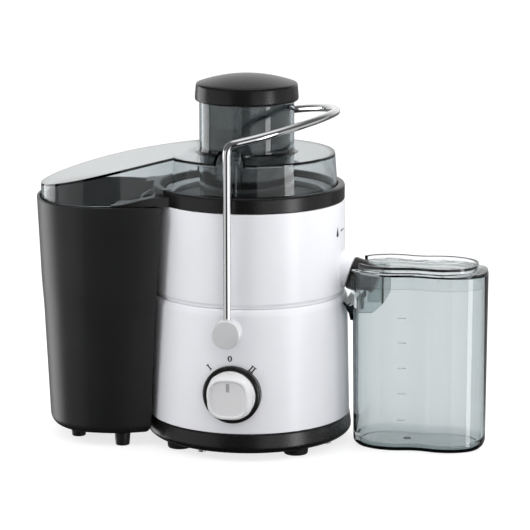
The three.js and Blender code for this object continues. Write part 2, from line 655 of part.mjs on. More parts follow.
function bail() {
  const section = new THREE.Shape().absarc(0, 0, BAIL.rod, 0, 2 * Math.PI, false);
  return new THREE.ExtrudeGeometry(section, {
    steps: 52, curveSegments: 4, bevelEnabled: false, extrudePath: bailPath(),
  });
}
part('bail_handle', bail(), CHROME);

for (const side of SIDES) {
  const { radius, inner, outer, pin, back } = BUTTON;
  const disc = turned([
    [0, back], [pin, back], [pin, inner], [radius, inner], [radius, outer - 2], [radius - 1.2, outer - 0.5],
    [radius - 3, outer], [0, outer],
  ], 32);
  const legY = side === 'front' ? -BAIL.y : BAIL.y;
  const legHole = rod(BAIL.rod + GAP, BAIL.pivotZ + 4.6, BAIL.pivotZ + 20).translate(0, legY, 0);
  part(`pivot_button_${side}`, cut(facing(side, disc, BAIL.pivotZ), legHole), SILVER);
  const collar = inner - GAP;
  part(`pivot_bush_${side}`, facing(side, turned([
    [BUSH.bore, BUSH.back], [BUSH.radius, BUSH.back], [BUSH.radius, BUSH.shoulder],
    [BUSH.collar, BUSH.shoulder], [BUSH.collar, collar], [BUSH.bore, collar],
  ], SMALL, true), BAIL.pivotZ), WHITE);
}

// Cam on the front pivot, which presses the safety switch's plunger when the handle is upright.
function interlockCam() {
  const disc = facing('front', rod(7, BUTTON.back + 0.4, 66), BAIL.pivotZ);
  const flat = box(-8, 8, -70, -60, 80, 96);
  const bore = facing('front', rod(BUTTON.pin + GAP, 60, 70), BAIL.pivotZ);
  return cut(disc, flat, bore);
}
part('interlock_cam', interlockCam(), BLACK);
part('interlock_switch', joined(box(-10, 10, -66, -60, 78, 90), box(-1.5, 1.5, -65, -62, 89, 92.4)), BLACK);

// ---------------------------------------------------------------- juice jug
// The jug's plan: a stadium that is narrower at its middle, x positions from its own left and right ends.
function jugRing(inset, drop, z, grow = 0) {
  const left = JUG.left + inset + drop * JUG.taper - grow;
  const right = JUG.right - inset - drop * 0.6 + grow;
  const half = JUG.halfWidth - inset - drop * JUG.taper + grow;
  const middle = (left + right) / 2;
  const count = 40;
  return Array.from({ length: count }, (_, i) => {
    const a = i * 2 * Math.PI / count;
    const [c, s] = [Math.cos(a), Math.sin(a)];
    const x = Math.sign(c) * Math.abs(c) ** 0.78;
    const y = Math.sign(s) * Math.abs(s) ** 0.7;
    const waist = JUG.waist * Math.exp(-((x / 0.33) ** 2));
    return new THREE.Vector3(middle + x * (right - left) / 2, y * (half - waist), z);
  });
}

// The drip lip bends outwards below the notch, and thin wings close it off from the notch's sides.
function dripLip() {
  const { halfWidth, wing } = NOTCH;
  const lip = new THREE.Shape();
  lip.moveTo(84.5, 100);
  lip.lineTo(84.5, 111.4);
  lip.lineTo(82.2, 109.4);
  lip.lineTo(77.4, 112.6);
  lip.lineTo(76, 111);
  lip.lineTo(81.8, 104.5);
  lip.lineTo(82.4, 100);
  const side = new THREE.Shape();
  side.moveTo(84.6, 104);
  side.lineTo(81, 105.4);
  side.lineTo(76.4, 111.6);
  side.lineTo(79.4, 122);
  side.lineTo(84.6, 135.6);
  const wings = [-halfWidth - wing, halfWidth].map((y) => (
    acrossY(side, wing / 2).translate(0, y + wing / 2, 0)));
  return joined(acrossY(lip, halfWidth + 0.6), ...wings);
}

function jug() {
  const { top, wall } = JUG;
  const outer = loft([jugRing(4, 1, 0), jugRing(1, 1, 1.2), jugRing(0, 1, 4), jugRing(0, 0, top)]);
  const inner = loft([
    jugRing(wall + 3, 1, wall + 0.8), jugRing(wall, 1, 7), jugRing(wall, 0, top), jugRing(wall, 0, top + 5),
  ]);
  const notch = box(60, 100, -NOTCH.halfWidth, NOTCH.halfWidth, NOTCH.bottom, 160);
  return joined(cut(outer, inner, notch), dripLip());
}
part('jug', jug(), SMOKE);

function jugLid() {
  const { flange, rim, wall, skirt, grow, inset } = JUG_LID;
  const { halfWidth, end } = NOTCH;
  const underside = JUG.top + GAP;
  const plate = loft([jugRing(0, 0, underside, grow), jugRing(0, 0, flange, grow)]);
  const raised = loft([jugRing(inset, 0, flange - 0.4), jugRing(inset, 0, rim)]);
  const well = loft([jugRing(inset + wall, 0, flange), jugRing(inset + wall, 0, rim + 1)]);
  const skirtRing = JUG.wall + GAP;
  const under = cut(
    loft([jugRing(skirtRing, 0.1, skirt), jugRing(skirtRing, 0.1, flange - 0.5)]),
    loft([jugRing(skirtRing + wall, 0.1, skirt - 1), jugRing(skirtRing + wall, 0.1, underside)]),
  );
  const notch = box(60, end - 2, -halfWidth + 1.5, halfWidth - 1.5, 90, 160);
  const baffleRoom = box(60, end + 0.4, -halfWidth - 0.4, halfWidth + 0.4, 90, JUG.top + 0.1);
  return cut(joined(cut(joined(plate, raised), well), under), notch, baffleRoom);
}
part('jug_lid', jugLid(), SMOKE);

// Three-sided box under the lid that keeps froth back around the spout.
function frothBaffle() {
  const { halfWidth, end } = NOTCH;
  const [near, low, high] = [89, 104.5, JUG.top - 0.1];
  const profile = new THREE.Shape();
  profile.moveTo(near, low);
  profile.lineTo(end - 8.2, low);
  profile.lineTo(end, low + 8.2);
  profile.lineTo(end, high);
  profile.lineTo(near, high);
  const inside = box(60, end - 1.6, 2 - halfWidth, halfWidth - 2, 90, 160);
  return cut(acrossY(profile, halfWidth - GAP), inside);
}
part('froth_baffle', frothBaffle(), SMOKE);

export default model;
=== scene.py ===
import json
import math
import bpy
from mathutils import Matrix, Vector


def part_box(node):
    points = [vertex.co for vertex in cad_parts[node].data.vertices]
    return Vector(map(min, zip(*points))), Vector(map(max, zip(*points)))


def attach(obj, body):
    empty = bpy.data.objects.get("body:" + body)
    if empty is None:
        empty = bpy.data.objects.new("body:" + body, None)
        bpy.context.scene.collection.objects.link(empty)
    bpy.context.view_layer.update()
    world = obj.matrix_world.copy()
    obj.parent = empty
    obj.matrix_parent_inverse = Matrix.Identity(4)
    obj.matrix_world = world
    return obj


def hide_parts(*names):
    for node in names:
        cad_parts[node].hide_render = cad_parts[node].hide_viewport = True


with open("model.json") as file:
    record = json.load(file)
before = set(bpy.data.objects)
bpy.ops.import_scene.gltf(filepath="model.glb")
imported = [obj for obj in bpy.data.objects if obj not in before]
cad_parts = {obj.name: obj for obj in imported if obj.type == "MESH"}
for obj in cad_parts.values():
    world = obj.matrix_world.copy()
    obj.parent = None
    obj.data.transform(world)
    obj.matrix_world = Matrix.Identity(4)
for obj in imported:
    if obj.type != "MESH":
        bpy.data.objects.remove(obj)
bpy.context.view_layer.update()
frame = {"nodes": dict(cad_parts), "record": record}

from types import SimpleNamespace

import bmesh
import bpy
from mathutils import Matrix, Vector

# Lengths in this script are millimetres from the motor's axis, with z = 0 on the table, and make() turns them
# into metres in the frame. Only the lamps are in metres.
MM = 0.001
shaft_low, shaft_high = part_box("motor_shaft")
ORIGIN = Vector(((shaft_low[0] + shaft_high[0]) / 2, (shaft_low[1] + shaft_high[1]) / 2, 0))
FINE = 144  # segments of the big round pieces
MEDIUM = 96  # segments of the knob, the nozzle and the pivot discs
SMALL = 48  # segments of pins and feet
SIDES = ("front", "rear")
CORNERS = ("front_left", "front_right", "rear_right", "rear_left")


def span(node):
    """A CAD node's box, in millimetres from the motor's axis, with its radii across Y and across Z."""
    low, high = ((Vector(corner) - ORIGIN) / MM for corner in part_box(node))
    return SimpleNamespace(
        x0=low.x, x1=high.x, y0=low.y, y1=high.y, z0=low.z, z1=high.z,
        x=(low.x + high.x) / 2, z=(low.z + high.z) / 2, r=(high.y - low.y) / 2, disc_r=(high.z - low.z) / 2)


BASE, HOUSING, COLLECTOR = span("base_tray"), span("motor_housing"), span("juice_collector")
RING, LID, CAP, PUSHER = span("rim_ring"), span("lid"), span("pusher_cap"), span("pusher_body")
BIN, JUG, JUG_LID, BAFFLE = span("pulp_bin"), span("jug"), span("jug_lid"), span("froth_baffle")
DIAL, KNOB, BAIL, BUTTON = span("dial_ring"), span("knob"), span("bail_handle"), span("pivot_button_front")
BASKET, RIM, GLAND = span("filter_mesh"), span("basket_rim"), span("cord_gland")


# ---------------------------------------------------------------- shapes: (points, faces)
def rounded(points, closed=False, steps=5):
    """A line through the points, with the corner rounded where a point has a third number, its size."""
    out = []
    count = len(points)
    for i, point in enumerate(points):
        here = Vector(point[:2])
        size = point[2] if len(point) > 2 else 0
        if not size or (not closed and i in (0, count - 1)):
            out.append(here)
            continue
        before, after = Vector(points[i - 1][:2]) - here, Vector(points[(i + 1) % count][:2]) - here
        a = here + before.normalized() * min(size, before.length * 0.48)
        b = here + after.normalized() * min(size, after.length * 0.48)
        for k in range(steps + 1):
            t = k / steps
            out.append(a * (1 - t) ** 2 + here * 2 * t * (1 - t) + b * t ** 2)
    return out


def turned(points, closed=False, segments=FINE):
    """Solid of revolution about Z from (radius, z, corner size) points."""
    verts, faces, rows = [], [], []
    for radius, z in rounded(points, closed):
        start = len(verts)
        if radius < 1e-6:
            verts.append(Vector((0, 0, z)))
            rows.append([start])
            continue
        for i in range(segments):
            a = 2 * math.pi * i / segments
            verts.append(Vector((radius * math.cos(a), radius * math.sin(a), z)))
        rows.append(list(range(start, start + segments)))
    for low, high in zip(rows, rows[1:] + (rows[:1] if closed else [])):
        for i in range(segments):
            j = (i + 1) % segments
            if len(low) > 1 and len(high) > 1:
                faces.append((low[i], low[j], high[j], high[i]))
            elif len(high) > 1:
                faces.append((low[0], high[j], high[i]))
            elif len(low) > 1:
                faces.append((low[i], low[j], high[0]))
    return verts, faces


def loft(rings):
    """Solid through rings of equal length, flat at both ends."""
    count = len(rings[0])
    verts = [Vector(point) for ring in rings for point in ring]
    faces = []
    for k in range(len(rings) - 1):
        for i in range(count):
            j = (i + 1) % count
            faces.append((k * count + i, k * count + j, (k + 1) * count + j, (k + 1) * count + i))
    last = len(verts) - count
    faces += [tuple(reversed(range(count))), tuple(range(last, last + count))]
    return verts, faces


def hoop(rings):
    """Closed ring through outlines of equal length."""
    verts, faces = loft(rings)
    count, last = len(rings[0]), len(verts) - len(rings[0])
    return verts, faces[:-2] + [(last + i, last + (i + 1) % count, (i + 1) % count, i) for i in range(count)]


def prism(outline, y0, y1):
    """Solid across Y from an outline of (x, z) points."""
    return loft([[(x, y, z) for x, z in outline] for y in (y0, y1)])


def block(x0, x1, y0, y1, z0, z1):
    return prism([(x0, z0), (x1, z0), (x1, z1), (x0, z1)], y0, y1)


def moved(shape, x=0, y=0, z=0, turn=0):
    """The shape turned about Z by an angle in degrees and then moved."""
    matrix = Matrix.Translation((x, y, z)) @ Matrix.Rotation(math.radians(turn), 4, "Z")
    return [matrix @ v for v in shape[0]], shape[1]


def facing(side, shape, x=0, z=0):
    """A shape built along +Z with +Y up, turned to point to the front or the rear."""
    s = 1 if side == "front" else -1
    return [Vector((s * v.x + x, -s * v.z, v.y + z)) for v in shape[0]], shape[1]


def boolean(operation, first, *others):
    """The first shape with the others joined to it (UNION), cut from it (DIFFERENCE) or kept (INTERSECT)."""
    base = mesh_object("work", first)
    tools = [mesh_object("work", shape) for shape in others]
    for tool in tools:
        modifier = base.modifiers.new("work", "BOOLEAN")
        modifier.operation, modifier.solver, modifier.object = operation, "MANIFOLD", tool
    graph = bpy.context.evaluated_depsgraph_get()
    result = bpy.data.meshes.new_from_object(base.evaluated_get(graph))
    verts = [v.co.copy() for v in result.vertices]
    faces = [tuple(p.vertices) for p in result.polygons]
    for obj in (base, *tools):
        mesh = obj.data
        bpy.data.objects.remove(obj)
        bpy.data.meshes.remove(mesh)
    bpy.data.meshes.remove(result)
    return verts, faces


def mesh_object(name, shape):
    verts, faces = shape
    mesh = bpy.data.meshes.new(name)
    mesh.from_pydata([tuple(v) for v in verts], [], [tuple(f) for f in faces])
    work = bmesh.new()
    work.from_mesh(mesh)
    bmesh.ops.remove_doubles(work, verts=work.verts, dist=1e-4)
    bmesh.ops.recalc_face_normals(work, faces=work.faces)
    work.to_mesh(mesh)
    work.free()
    obj = bpy.data.objects.new(name, mesh)
    bpy.context.scene.collection.objects.link(obj)
    return obj


def make(name, shape, body, slot, nodes=(), look=None, bevel=0, sharp=34):
    """Adds a piece that rides on a body and stands for CAD nodes. bevel is the width of its rounded edges."""
    obj = mesh_object(name, shape)
    mesh = obj.data
    for v in mesh.vertices:
        v.co = ORIGIN + v.co * MM
    mesh.polygons.foreach_set("use_smooth", [True] * len(mesh.polygons))
    if bevel:
        edges = obj.modifiers.new("edges", "BEVEL")
        edges.width, edges.segments, edges.limit_method = bevel * MM, 3, "ANGLE"
        edges.angle_limit = math.radians(sharp)
        normals = obj.modifiers.new("normals", "WEIGHTED_NORMAL")
        normals.keep_sharp = True
    else:
        mesh.set_sharp_from_angle(angle=math.radians(sharp))
    mesh.materials.append(look or LOOKS[slot])
    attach(obj, body)
    if nodes:
        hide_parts(*nodes)
    return obj


# ---------------------------------------------------------------- materials
def blank(name):
    """A new node material, with its nodes, links, shader and output."""
    material = bpy.data.materials.new(name)
    material.use_nodes = True
    nodes = material.node_tree.nodes
    return material, nodes, material.node_tree.links, nodes["Principled BSDF"], nodes["Material Output"]


def parts_of(material):
    """An existing material's nodes, links, shader and output."""
    nodes = material.node_tree.nodes
    return nodes, material.node_tree.links, nodes["Principled BSDF"], nodes["Material Output"]


def add(nodes, kind, **values):
    """A new shader node with values on its sockets, each named with _ for a space."""
    node = nodes.new("ShaderNode" + kind)
    for socket, value in values.items():
        node.inputs[socket.replace("_", " ")].default_value = value
    return node


def surface(name, colour, roughness, metallic=0.0, tint=0.04, patch=28, grain=1400, relief=0.05,
            rough_span=0.05, stretch=(1, 1, 1), specular=0.5):
    """An opaque material: its colour drifts softly, and a fine grain drives its roughness and bump."""
    material, nodes, links, shader, _ = blank(name)
    shader.inputs["Metallic"].default_value = metallic
    shader.inputs["Specular IOR Level"].default_value = specular
    place = add(nodes, "TexCoord")
    scale = add(nodes, "Mapping", Scale=stretch)
    links.new(place.outputs["Object"], scale.inputs["Vector"])

    def noise(size, detail):
        node = add(nodes, "TexNoise", Scale=size, Detail=detail)
        links.new(scale.outputs["Vector"], node.inputs["Vector"])
        return node.outputs["Fac"]

    drift = add(nodes, "ValToRGB")
    for stop, level, position in zip(drift.color_ramp.elements, (1 - tint, 1 + tint), (0.3, 0.7)):
        stop.position = position
        stop.color = (*(min(1.0, c * level) for c in colour), 1)
    links.new(noise(patch, 3), drift.inputs["Fac"])
    links.new(drift.outputs["Color"], shader.inputs["Base Color"])
    fine = noise(grain, 2)
    gloss = add(nodes, "MapRange", To_Min=max(0.0, roughness - rough_span), To_Max=roughness + rough_span)
    links.new(fine, gloss.inputs["Value"])
    links.new(gloss.outputs["Result"], shader.inputs["Roughness"])
    bump = add(nodes, "Bump", Strength=relief, Distance=0.0002)
    links.new(fine, bump.inputs["Height"])
    links.new(bump.outputs["Normal"], shader.inputs["Normal"])
    return material


def smoked(name, absorbed, density, roughness=0.01, ripple=0.003):
    """Smoked clear plastic: clear, with moulding ripples and a tint that deepens with its thickness."""
    material, nodes, links, shader, output = blank(name)
    shader.inputs["Base Color"].default_value = (1, 1, 1, 1)
    shader.inputs["Transmission Weight"].default_value = 1.0
    shader.inputs["IOR"].default_value = 1.49
    place = add(nodes, "TexCoord")
    wave = add(nodes, "TexNoise", Scale=45, Detail=1)
    links.new(place.outputs["Object"], wave.inputs["Vector"])
    bump = add(nodes, "Bump", Strength=ripple, Distance=0.001)
    links.new(wave.outputs["Fac"], bump.inputs["Height"])
    links.new(bump.outputs["Normal"], shader.inputs["Normal"])
    gloss = add(nodes, "MapRange", To_Min=roughness, To_Max=roughness + 0.03)
    links.new(wave.outputs["Fac"], gloss.inputs["Value"])
    links.new(gloss.outputs["Result"], shader.inputs["Roughness"])
    # Lamps shine straight through the surface, so that what is inside is lit.
    clear = add(nodes, "BsdfTransparent", Color=(0.975, 0.975, 0.975, 1))
    path = add(nodes, "LightPath")
    mix = add(nodes, "MixShader")
    links.new(path.outputs["Is Shadow Ray"], mix.inputs["Fac"])
    links.new(shader.outputs["BSDF"], mix.inputs[1])
    links.new(clear.outputs["BSDF"], mix.inputs[2])
    links.new(mix.outputs["Shader"], output.inputs["Surface"])
    tint = add(nodes, "VolumeAbsorption", Color=(*absorbed, 1), Density=density)
    links.new(tint.outputs["Volume"], output.inputs["Volume"])
    return material


def perforated(name):
    """Stainless foil with rows of fine holes round the basket."""
    material = surface(name, (0.5, 0.5, 0.51), 0.32, metallic=0.9, tint=0.08, relief=0.1)
    nodes, links, shader, _ = parts_of(material)
    place = add(nodes, "TexCoord")
    cells = add(nodes, "TexVoronoi", Scale=700, Randomness=0.15)
    links.new(place.outputs["Object"], cells.inputs["Vector"])
    holes = add(nodes, "ValToRGB")
    stops = ((0.26, (0.015, 0.015, 0.016, 1)), (0.34, (0.5, 0.5, 0.51, 1)))
    for element, (position, colour) in zip(holes.color_ramp.elements, stops):
        element.position, element.color = position, colour
    links.new(cells.outputs["Distance"], holes.inputs["Fac"])
    links.new(holes.outputs["Color"], shader.inputs["Base Color"])
    return material


def studio_floor():
    """Pale lit paper, which the lens sees white, also through clear plastic, and the object sees as dim grey."""
    material = surface("pale_floor", (0.3, 0.3, 0.3), 0.7, tint=0.004, patch=4, relief=0, specular=0.1)
    nodes, links, shader, output = parts_of(material)
    shader.inputs["Emission Color"].default_value = (1, 1, 1, 1)
    shader.inputs["Emission Strength"].default_value = 0.75
    dim = add(nodes, "BsdfDiffuse", Color=(0.45, 0.45, 0.45, 1))
    path = add(nodes, "LightPath")
    either = add(nodes, "Math")
    either.operation = "MAXIMUM"
    links.new(path.outputs["Is Camera Ray"], either.inputs[0])
    links.new(path.outputs["Is Transmission Ray"], either.inputs[1])
    mix = add(nodes, "MixShader")
    links.new(either.outputs["Value"], mix.inputs["Fac"])
    links.new(dim.outputs["BSDF"], mix.inputs[1])
    links.new(shader.outputs["BSDF"], mix.inputs[2])
    links.new(mix.outputs["Shader"], output.inputs["Surface"])
    return material


# One look for each material slot of the CAD, then those that single pieces have instead. How much the clear
# plastics absorb differs, because the pusher and the guard look darker than their walls would make them; the
# bead's is painted shade.
LOOKS = {
    "white_plastic": surface("white_satin", (0.74, 0.745, 0.78), 0.3, tint=0.012, rough_span=0.04, relief=0.04),
    "black_plastic": surface("black_satin", (0.006, 0.0055, 0.0055), 0.28, tint=0.15, relief=0.08, specular=0.42),
    "charcoal_plastic": surface("charcoal_matt", (0.011, 0.0112, 0.0115), 0.38, tint=0.12, grain=2200, relief=0.16,
                                specular=0.42),
    "smoked_clear_plastic": smoked("smoked_clear", (0.245, 0.345, 0.362), 195),
    "silver_plastic": surface("silver_satin", (0.70, 0.705, 0.72), 0.36, metallic=0.3, tint=0.03, relief=0.05),
    "chrome": surface("chrome", (0.86, 0.865, 0.875), 0.05, metallic=1.0, tint=0.015, relief=0.01,
                      rough_span=0.02),
    "steel": surface("brushed_steel", (0.42, 0.42, 0.43), 0.3, metallic=0.95, tint=0.1, stretch=(1, 1, 9)),
    "rubber": surface("rubber", (0.012, 0.012, 0.012), 0.75, tint=0.2, grain=900, relief=0.2, specular=0.3),
    "copper": surface("windings", (0.45, 0.2, 0.09), 0.4, metallic=0.8, tint=0.15, stretch=(1, 1, 14)),
    "brass": surface("turned_brass", (0.55, 0.4, 0.16), 0.3, metallic=1.0, tint=0.08, stretch=(1, 1, 12)),
    "carbon": surface("graphite", (0.03, 0.03, 0.032), 0.6, tint=0.2, relief=0.2),
}
LID_LOOK = smoked("smoked_lid", (0.2, 0.3, 0.33), 185)
PUSHER_LOOK = smoked("smoked_dark", (0.17, 0.215, 0.225), 820)
KNOB_LOOK = surface("knob_grey", (0.64, 0.64, 0.65), 0.42, tint=0.015, relief=0.04, specular=0.35)
GUARD_LOOK = smoked("smoked_guard", (0.2, 0.33, 0.35), 430)
# The ridge bead's strong absorption is painted shade: the dark line that refraction draws along the jug cover's
# ridge.
RIDGE_SHADE_LOOK = smoked("painted_ridge_shade", (0.2, 0.3, 0.32), 4500)
COVER_LOOK = smoked("smoked_light", (0.245, 0.345, 0.362), 80)
FROSTED = smoked("frosted_marks", (0.2, 0.3, 0.32), 260, roughness=0.35)
MESH_LOOK = perforated("perforated_steel")
RIM_LOOK = surface("basket_steel", (0.72, 0.72, 0.73), 0.3, metallic=0.6, tint=0.05, stretch=(1, 1, 9))
INK = surface("printed_ink", (0.012, 0.012, 0.014), 0.5, tint=0.2, relief=0.02)
GROOVE_LOOK = surface("indicator_grey", (0.36, 0.36, 0.37), 0.4, tint=0.03)

# ---------------------------------------------------------------- base and feet
floor_z = BASE.z0
BASE_FLOOR = 2.8  # thickness
base = turned([
    (0, floor_z), (BASE.r - 3.6, floor_z, 0.7), (BASE.r - 0.6, floor_z + 2.4, 1.4), (BASE.r, floor_z + 5, 2),
    (BASE.r - 1.3, BASE.z1 - 0.8, 0.5), (BASE.r - 2.1, BASE.z1, 0.3), (BASE.r - 4, BASE.z1, 0.3),
    (BASE.r - 4, floor_z + BASE_FLOOR, 0.8), (0, floor_z + BASE_FLOOR),
])
vents = [block(x - 2, x + 2, -26, 26, floor_z - 2, floor_z + 5) for x in (-24, -12, 0, 12, 24)]
make("base_shell", boolean("DIFFERENCE", base, *vents), "housing", "black_plastic", ["base_tray"])
for corner in CORNERS:
    foot = span(f"foot_{corner}")
    pad = turned([
        (0, 0), (foot.r - 2.6, 0), (foot.r - 2.2, 0.35, 0.2), (foot.r - 1.4, 0.35, 0.2), (foot.r - 0.9, 0, 0.4),
        (foot.r - 0.4, 0.9, 0.4), (foot.r, foot.z1, 0.3), (0, foot.z1),
    ], segments=SMALL)
    make(f"rubber_foot_{corner}", moved(pad, foot.x, (foot.y0 + foot.y1) / 2), "housing", "rubber",
         [f"foot_{corner}"])

# ---------------------------------------------------------------- motor housing
low, top = BASE.z1 + 0.3, HOUSING.z1
DECK, DECK_THICK = top - 8.8, 2.8
HOUSING_TAPER, SHOULDER = 1.95, 4.4  # how much slimmer its side gets, and the height of the rounding above that
shell = turned([
    (HOUSING.r - 2.6, low), (HOUSING.r, low, 0.5), (HOUSING.r - HOUSING_TAPER, top - SHOULDER, 1.4),
    (HOUSING.r - 3.0, top - 1, 1.4), (HOUSING.r - 4.0, top, 0.5), (HOUSING.r - 5.2, top, 0.3),
    (HOUSING.r - 5.2, DECK + DECK_THICK, 0.5), (9.3, DECK + DECK_THICK), (9.3, DECK),
    (HOUSING.r - 5.2, DECK, 0.5),
], closed=True)


def wall_hole(side, radius, x, z, segments):
    """A tool that cuts a round hole through the housing's wall."""
    return facing(side, turned([(0, 60), (radius, 60), (radius, 90), (0, 90)], segments=segments), x, z)


dial_hole = wall_hole("front", DIAL.disc_r - 0.1, DIAL.x, DIAL.z, FINE)
gland_hole = wall_hole("rear", 6.1, 0, GLAND.z, SMALL)
make("housing_shell", boolean("DIFFERENCE", shell, dial_hole, gland_hole), "housing", "white_plastic",
     ["motor_housing"])
make("strain_relief", facing("rear", turned([
    (3.6, 70), (6, 70), (6, 78.6), (8.3, 78.6, 0.5), (8.5, 80.6, 0.6), (6.6, 83.6, 1), (6.6, 85, 0.3),
    (5.9, 85.4, 0.2), (5.9, 86.6, 0.2), (6.2, 87, 0.3), (6.1, 88.6, 0.3), (5.5, 89, 0.2), (5.5, 90, 0.2),
    (5.7, 90.4, 0.3), (5.4, GLAND.y1, 0.5), (3.6, GLAND.y1, 0.3),
], True, SMALL), 0, GLAND.z), "housing", "black_plastic", ["cord_gland"])

# ---------------------------------------------------------------- juice collector and spout
bottom, top = HOUSING.z1 + 1, COLLECTOR.z1
COLLECTOR_TAPER = 1  # how much slimmer its side gets towards the top
make("collector_bowl", turned([
    (COLLECTOR.r - 2.4, bottom - 0.8), (COLLECTOR.r - 1.0, bottom - 0.8, 0.2),
    (COLLECTOR.r - 0.9, bottom + 1.2, 0.6), (COLLECTOR.r, bottom + 2.6, 0.8),
    (COLLECTOR.r - COLLECTOR_TAPER, top, 0.4), (COLLECTOR.r - 3.4, top, 0.3), (COLLECTOR.r - 2.4, bottom + 9.4, 4),
    (21.6, bottom + 9.4, 1.2), (21.6, bottom + 21, 0.5), (19.4, bottom + 21, 0.5), (19.4, bottom + 7, 1),
    (COLLECTOR.r - 2.4, bottom + 7, 1),
], closed=True), "housing", "white_plastic", ["juice_collector"])

turn_of_nozzle = next(j for j in frame["record"]["behaviour"]["joints"] if j["name"] == "nozzle_turn")
SPOUT = (Vector(turn_of_nozzle["pos_m"]) - ORIGIN) / MM
tilt = math.atan2(-turn_of_nozzle["axis"][2], turn_of_nozzle["axis"][0])


def on_spout(shape):
    """A shape built along +Z, moved onto the spout's axis, which points right and down."""
    a = math.pi / 2 + tilt
    c, s = math.cos(a), math.sin(a)
    return [SPOUT + Vector((v.x * c + v.z * s, v.y, -v.x * s + v.z * c)) for v in shape[0]], shape[1]


make("spout_root", on_spout(turned([
    (7.8, -17), (17.5, -17), (13.6, -8.5, 5), (12.2, -2, 3), (12.2, -0.3, 0.5), (9.8, -0.3, 0.3), (9.8, 9, 0.6),
    (7.8, 9, 0.5),
], True, SMALL)), "housing", "white_plastic")
nozzle = turned([
    (10.2, 0.2, 0.3), (12.6, 0.2, 0.7), (12.6, 10.6, 0.5), (11.8, 11.1, 0.4), (11.4, 17, 3), (10.6, 21.2, 2.2),
    (6, 22, 1), (0, 22), (0, 20), (8.4, 19.6, 2), (9.2, 12, 1), (10.2, 10, 0.5),
], True, MEDIUM)
mouth = rounded([(-8, -7.5, 3), (8, -7.5, 3), (8, 7.5, 3), (-8, 7.5, 3)], True)
outlet = loft([[(depth + 0.5, v, 16 + u * 0.43) for u, v in mouth] for depth in (0, 14)])  # out of the side
make("nozzle", on_spout(boolean("DIFFERENCE", nozzle, outlet)), "nozzle", "black_plastic", ["spout_nozzle"])

# ---------------------------------------------------------------- pulp bin
FRONT_X = -112  # where the bin is widest
HUG = 81  # radius of its hollow side, which fits round the body
SLIMMER_Y, SLIMMER_X = 11, 7.2  # how much less it reaches sideways and to the left at its bottom


def bin_outline(inset, drop, hug=HUG):
    """The bin's plan: a hollow side round the body, a curve outwards and half an ellipse.
    drop is 0 at the rim and 1 at the bottom, where the bin is slimmer."""
    half = BIN.r - inset - drop * SLIMMER_Y
    left = BIN.x0 + inset + drop * SLIMMER_X
    radius = hug + inset
    corner = math.radians(47 - drop * 12) - inset / radius
    upper = [(-radius * math.cos(corner * i / 9), radius * math.sin(corner * i / 9)) for i in range(9)]
    a = Vector((-radius * math.cos(corner), radius * math.sin(corner)))
    b, c, d = a + Vector((-13, 6)), Vector((FRONT_X + 22, half)), Vector((FRONT_X, half))
    first = a * 0.86 + b * 0.14
    start = Vector(upper[-1]) * 0.35 + a * 0.65
    upper += [tuple(p) for p in rounded([start, (*a, 3), first])[1:-1]]
    for i in range(2, 14):
        t = i / 14
        upper.append(tuple(a * (1 - t) ** 3 + b * 3 * t * (1 - t) ** 2 + c * 3 * t * t * (1 - t) + d * t ** 3))
    for i in range(25):
        t = math.pi / 2 * (1 + i / 24)
        upper.append((FRONT_X + (FRONT_X - left) * math.cos(t), half * math.sin(t)))
    return upper + [(x, -y) for x, y in reversed(upper[1:-1])]


def bin_wall(profile):
    """Solid that follows the bin's plan, from (inset, z, corner size) points."""
    rings = []
    for inset, z in rounded(profile):
        drop = (BIN.z1 - z) / (BIN.z1 - BIN.z0)
        rings.append([(x, y, z) for x, y in bin_outline(inset, drop)])
    return loft(rings)


low, rim = BIN.z0, BIN.z1
BIN_STEP = 106  # above this height the bin's wall swells out a little
make("bin", bin_wall([
    (14, low), (3.2, low, 2), (0.8, low + 4, 2.5), (0.6, BIN_STEP, 8), (0, 119, 8), (0, rim, 0.9), (2.4, rim, 0.9),
    (2.4, 120, 8), (3.5, BIN_STEP, 8), (3.6, low + 8, 5), (8, low + 2.4, 3), (16, low + 2.4),
]), "bin", "charcoal_plastic", ["pulp_bin"])
for corner in CORNERS:
    foot = span(f"bin_foot_{corner}")
    peg = turned([(0, 0), (foot.r - 0.9, 0, 0.6), (foot.r, foot.z1 + 0.4), (0, foot.z1 + 0.4)], segments=SMALL)
    make(f"bin_peg_{corner}", moved(peg, foot.x, (foot.y0 + foot.y1) / 2), "bin", "charcoal_plastic",
         [f"bin_foot_{corner}"])

# ---------------------------------------------------------------- black ring with its two horns
HORN_END, HORN_RISE = -92, -58  # where the horns end, and where their top edge is fully up
HORN_LOW, HORN_HIGH = BIN.z1 + 1.5, BIN.z1 + 7  # heights of that edge there
ring = turned([
    (65.2, RING.z0, 0.4), (RING.r, RING.z0, 0.7), (RING.r, RING.z1, 1.8), (68, RING.z1, 0.7), (68, 194.2, 0.3),
    (65.2, 194.2, 0.3),
], closed=True)


def horn_edge(lift):
    """The side view of the horns' top edge, which rises in an S towards the body."""
    points = []
    for i in range(17):
        x = HORN_RISE + i / 16 * (HORN_END - HORN_RISE)
        t = (x - HORN_END) / (HORN_RISE - HORN_END)
        points.append((x, HORN_LOW + t * t * (3 - 2 * t) * (HORN_HIGH - HORN_LOW) + lift))
    return points


horns = boolean(
    "DIFFERENCE",
    loft([[(x, y, z) for x, y in bin_outline(0.2, 0, RING.r - 0.6)] for z in (BIN.z1 + 0.3, RING.z1)]),
    prism([(-220, 230), (0, 230), (0, HORN_HIGH), *horn_edge(0), (-220, HORN_LOW)], -100, 100),
    block(-200, -RING.r + 6, -44, 44, 150, 230), block(-200, HORN_END, -100, 100, 150, 230))
make("ring_and_horns", boolean("UNION", ring, horns), "housing", "black_plastic", ["rim_ring"],
     bevel=0.5, sharp=45)
make("lid_gasket", turned([
    (65.6, 194.6, 0.3), (67.5, 194.6, 0.3), (67.5, 196.4, 0.5), (65.6, 196.4, 0.5)], True), "housing", "rubber",
     ["lid_seal"])

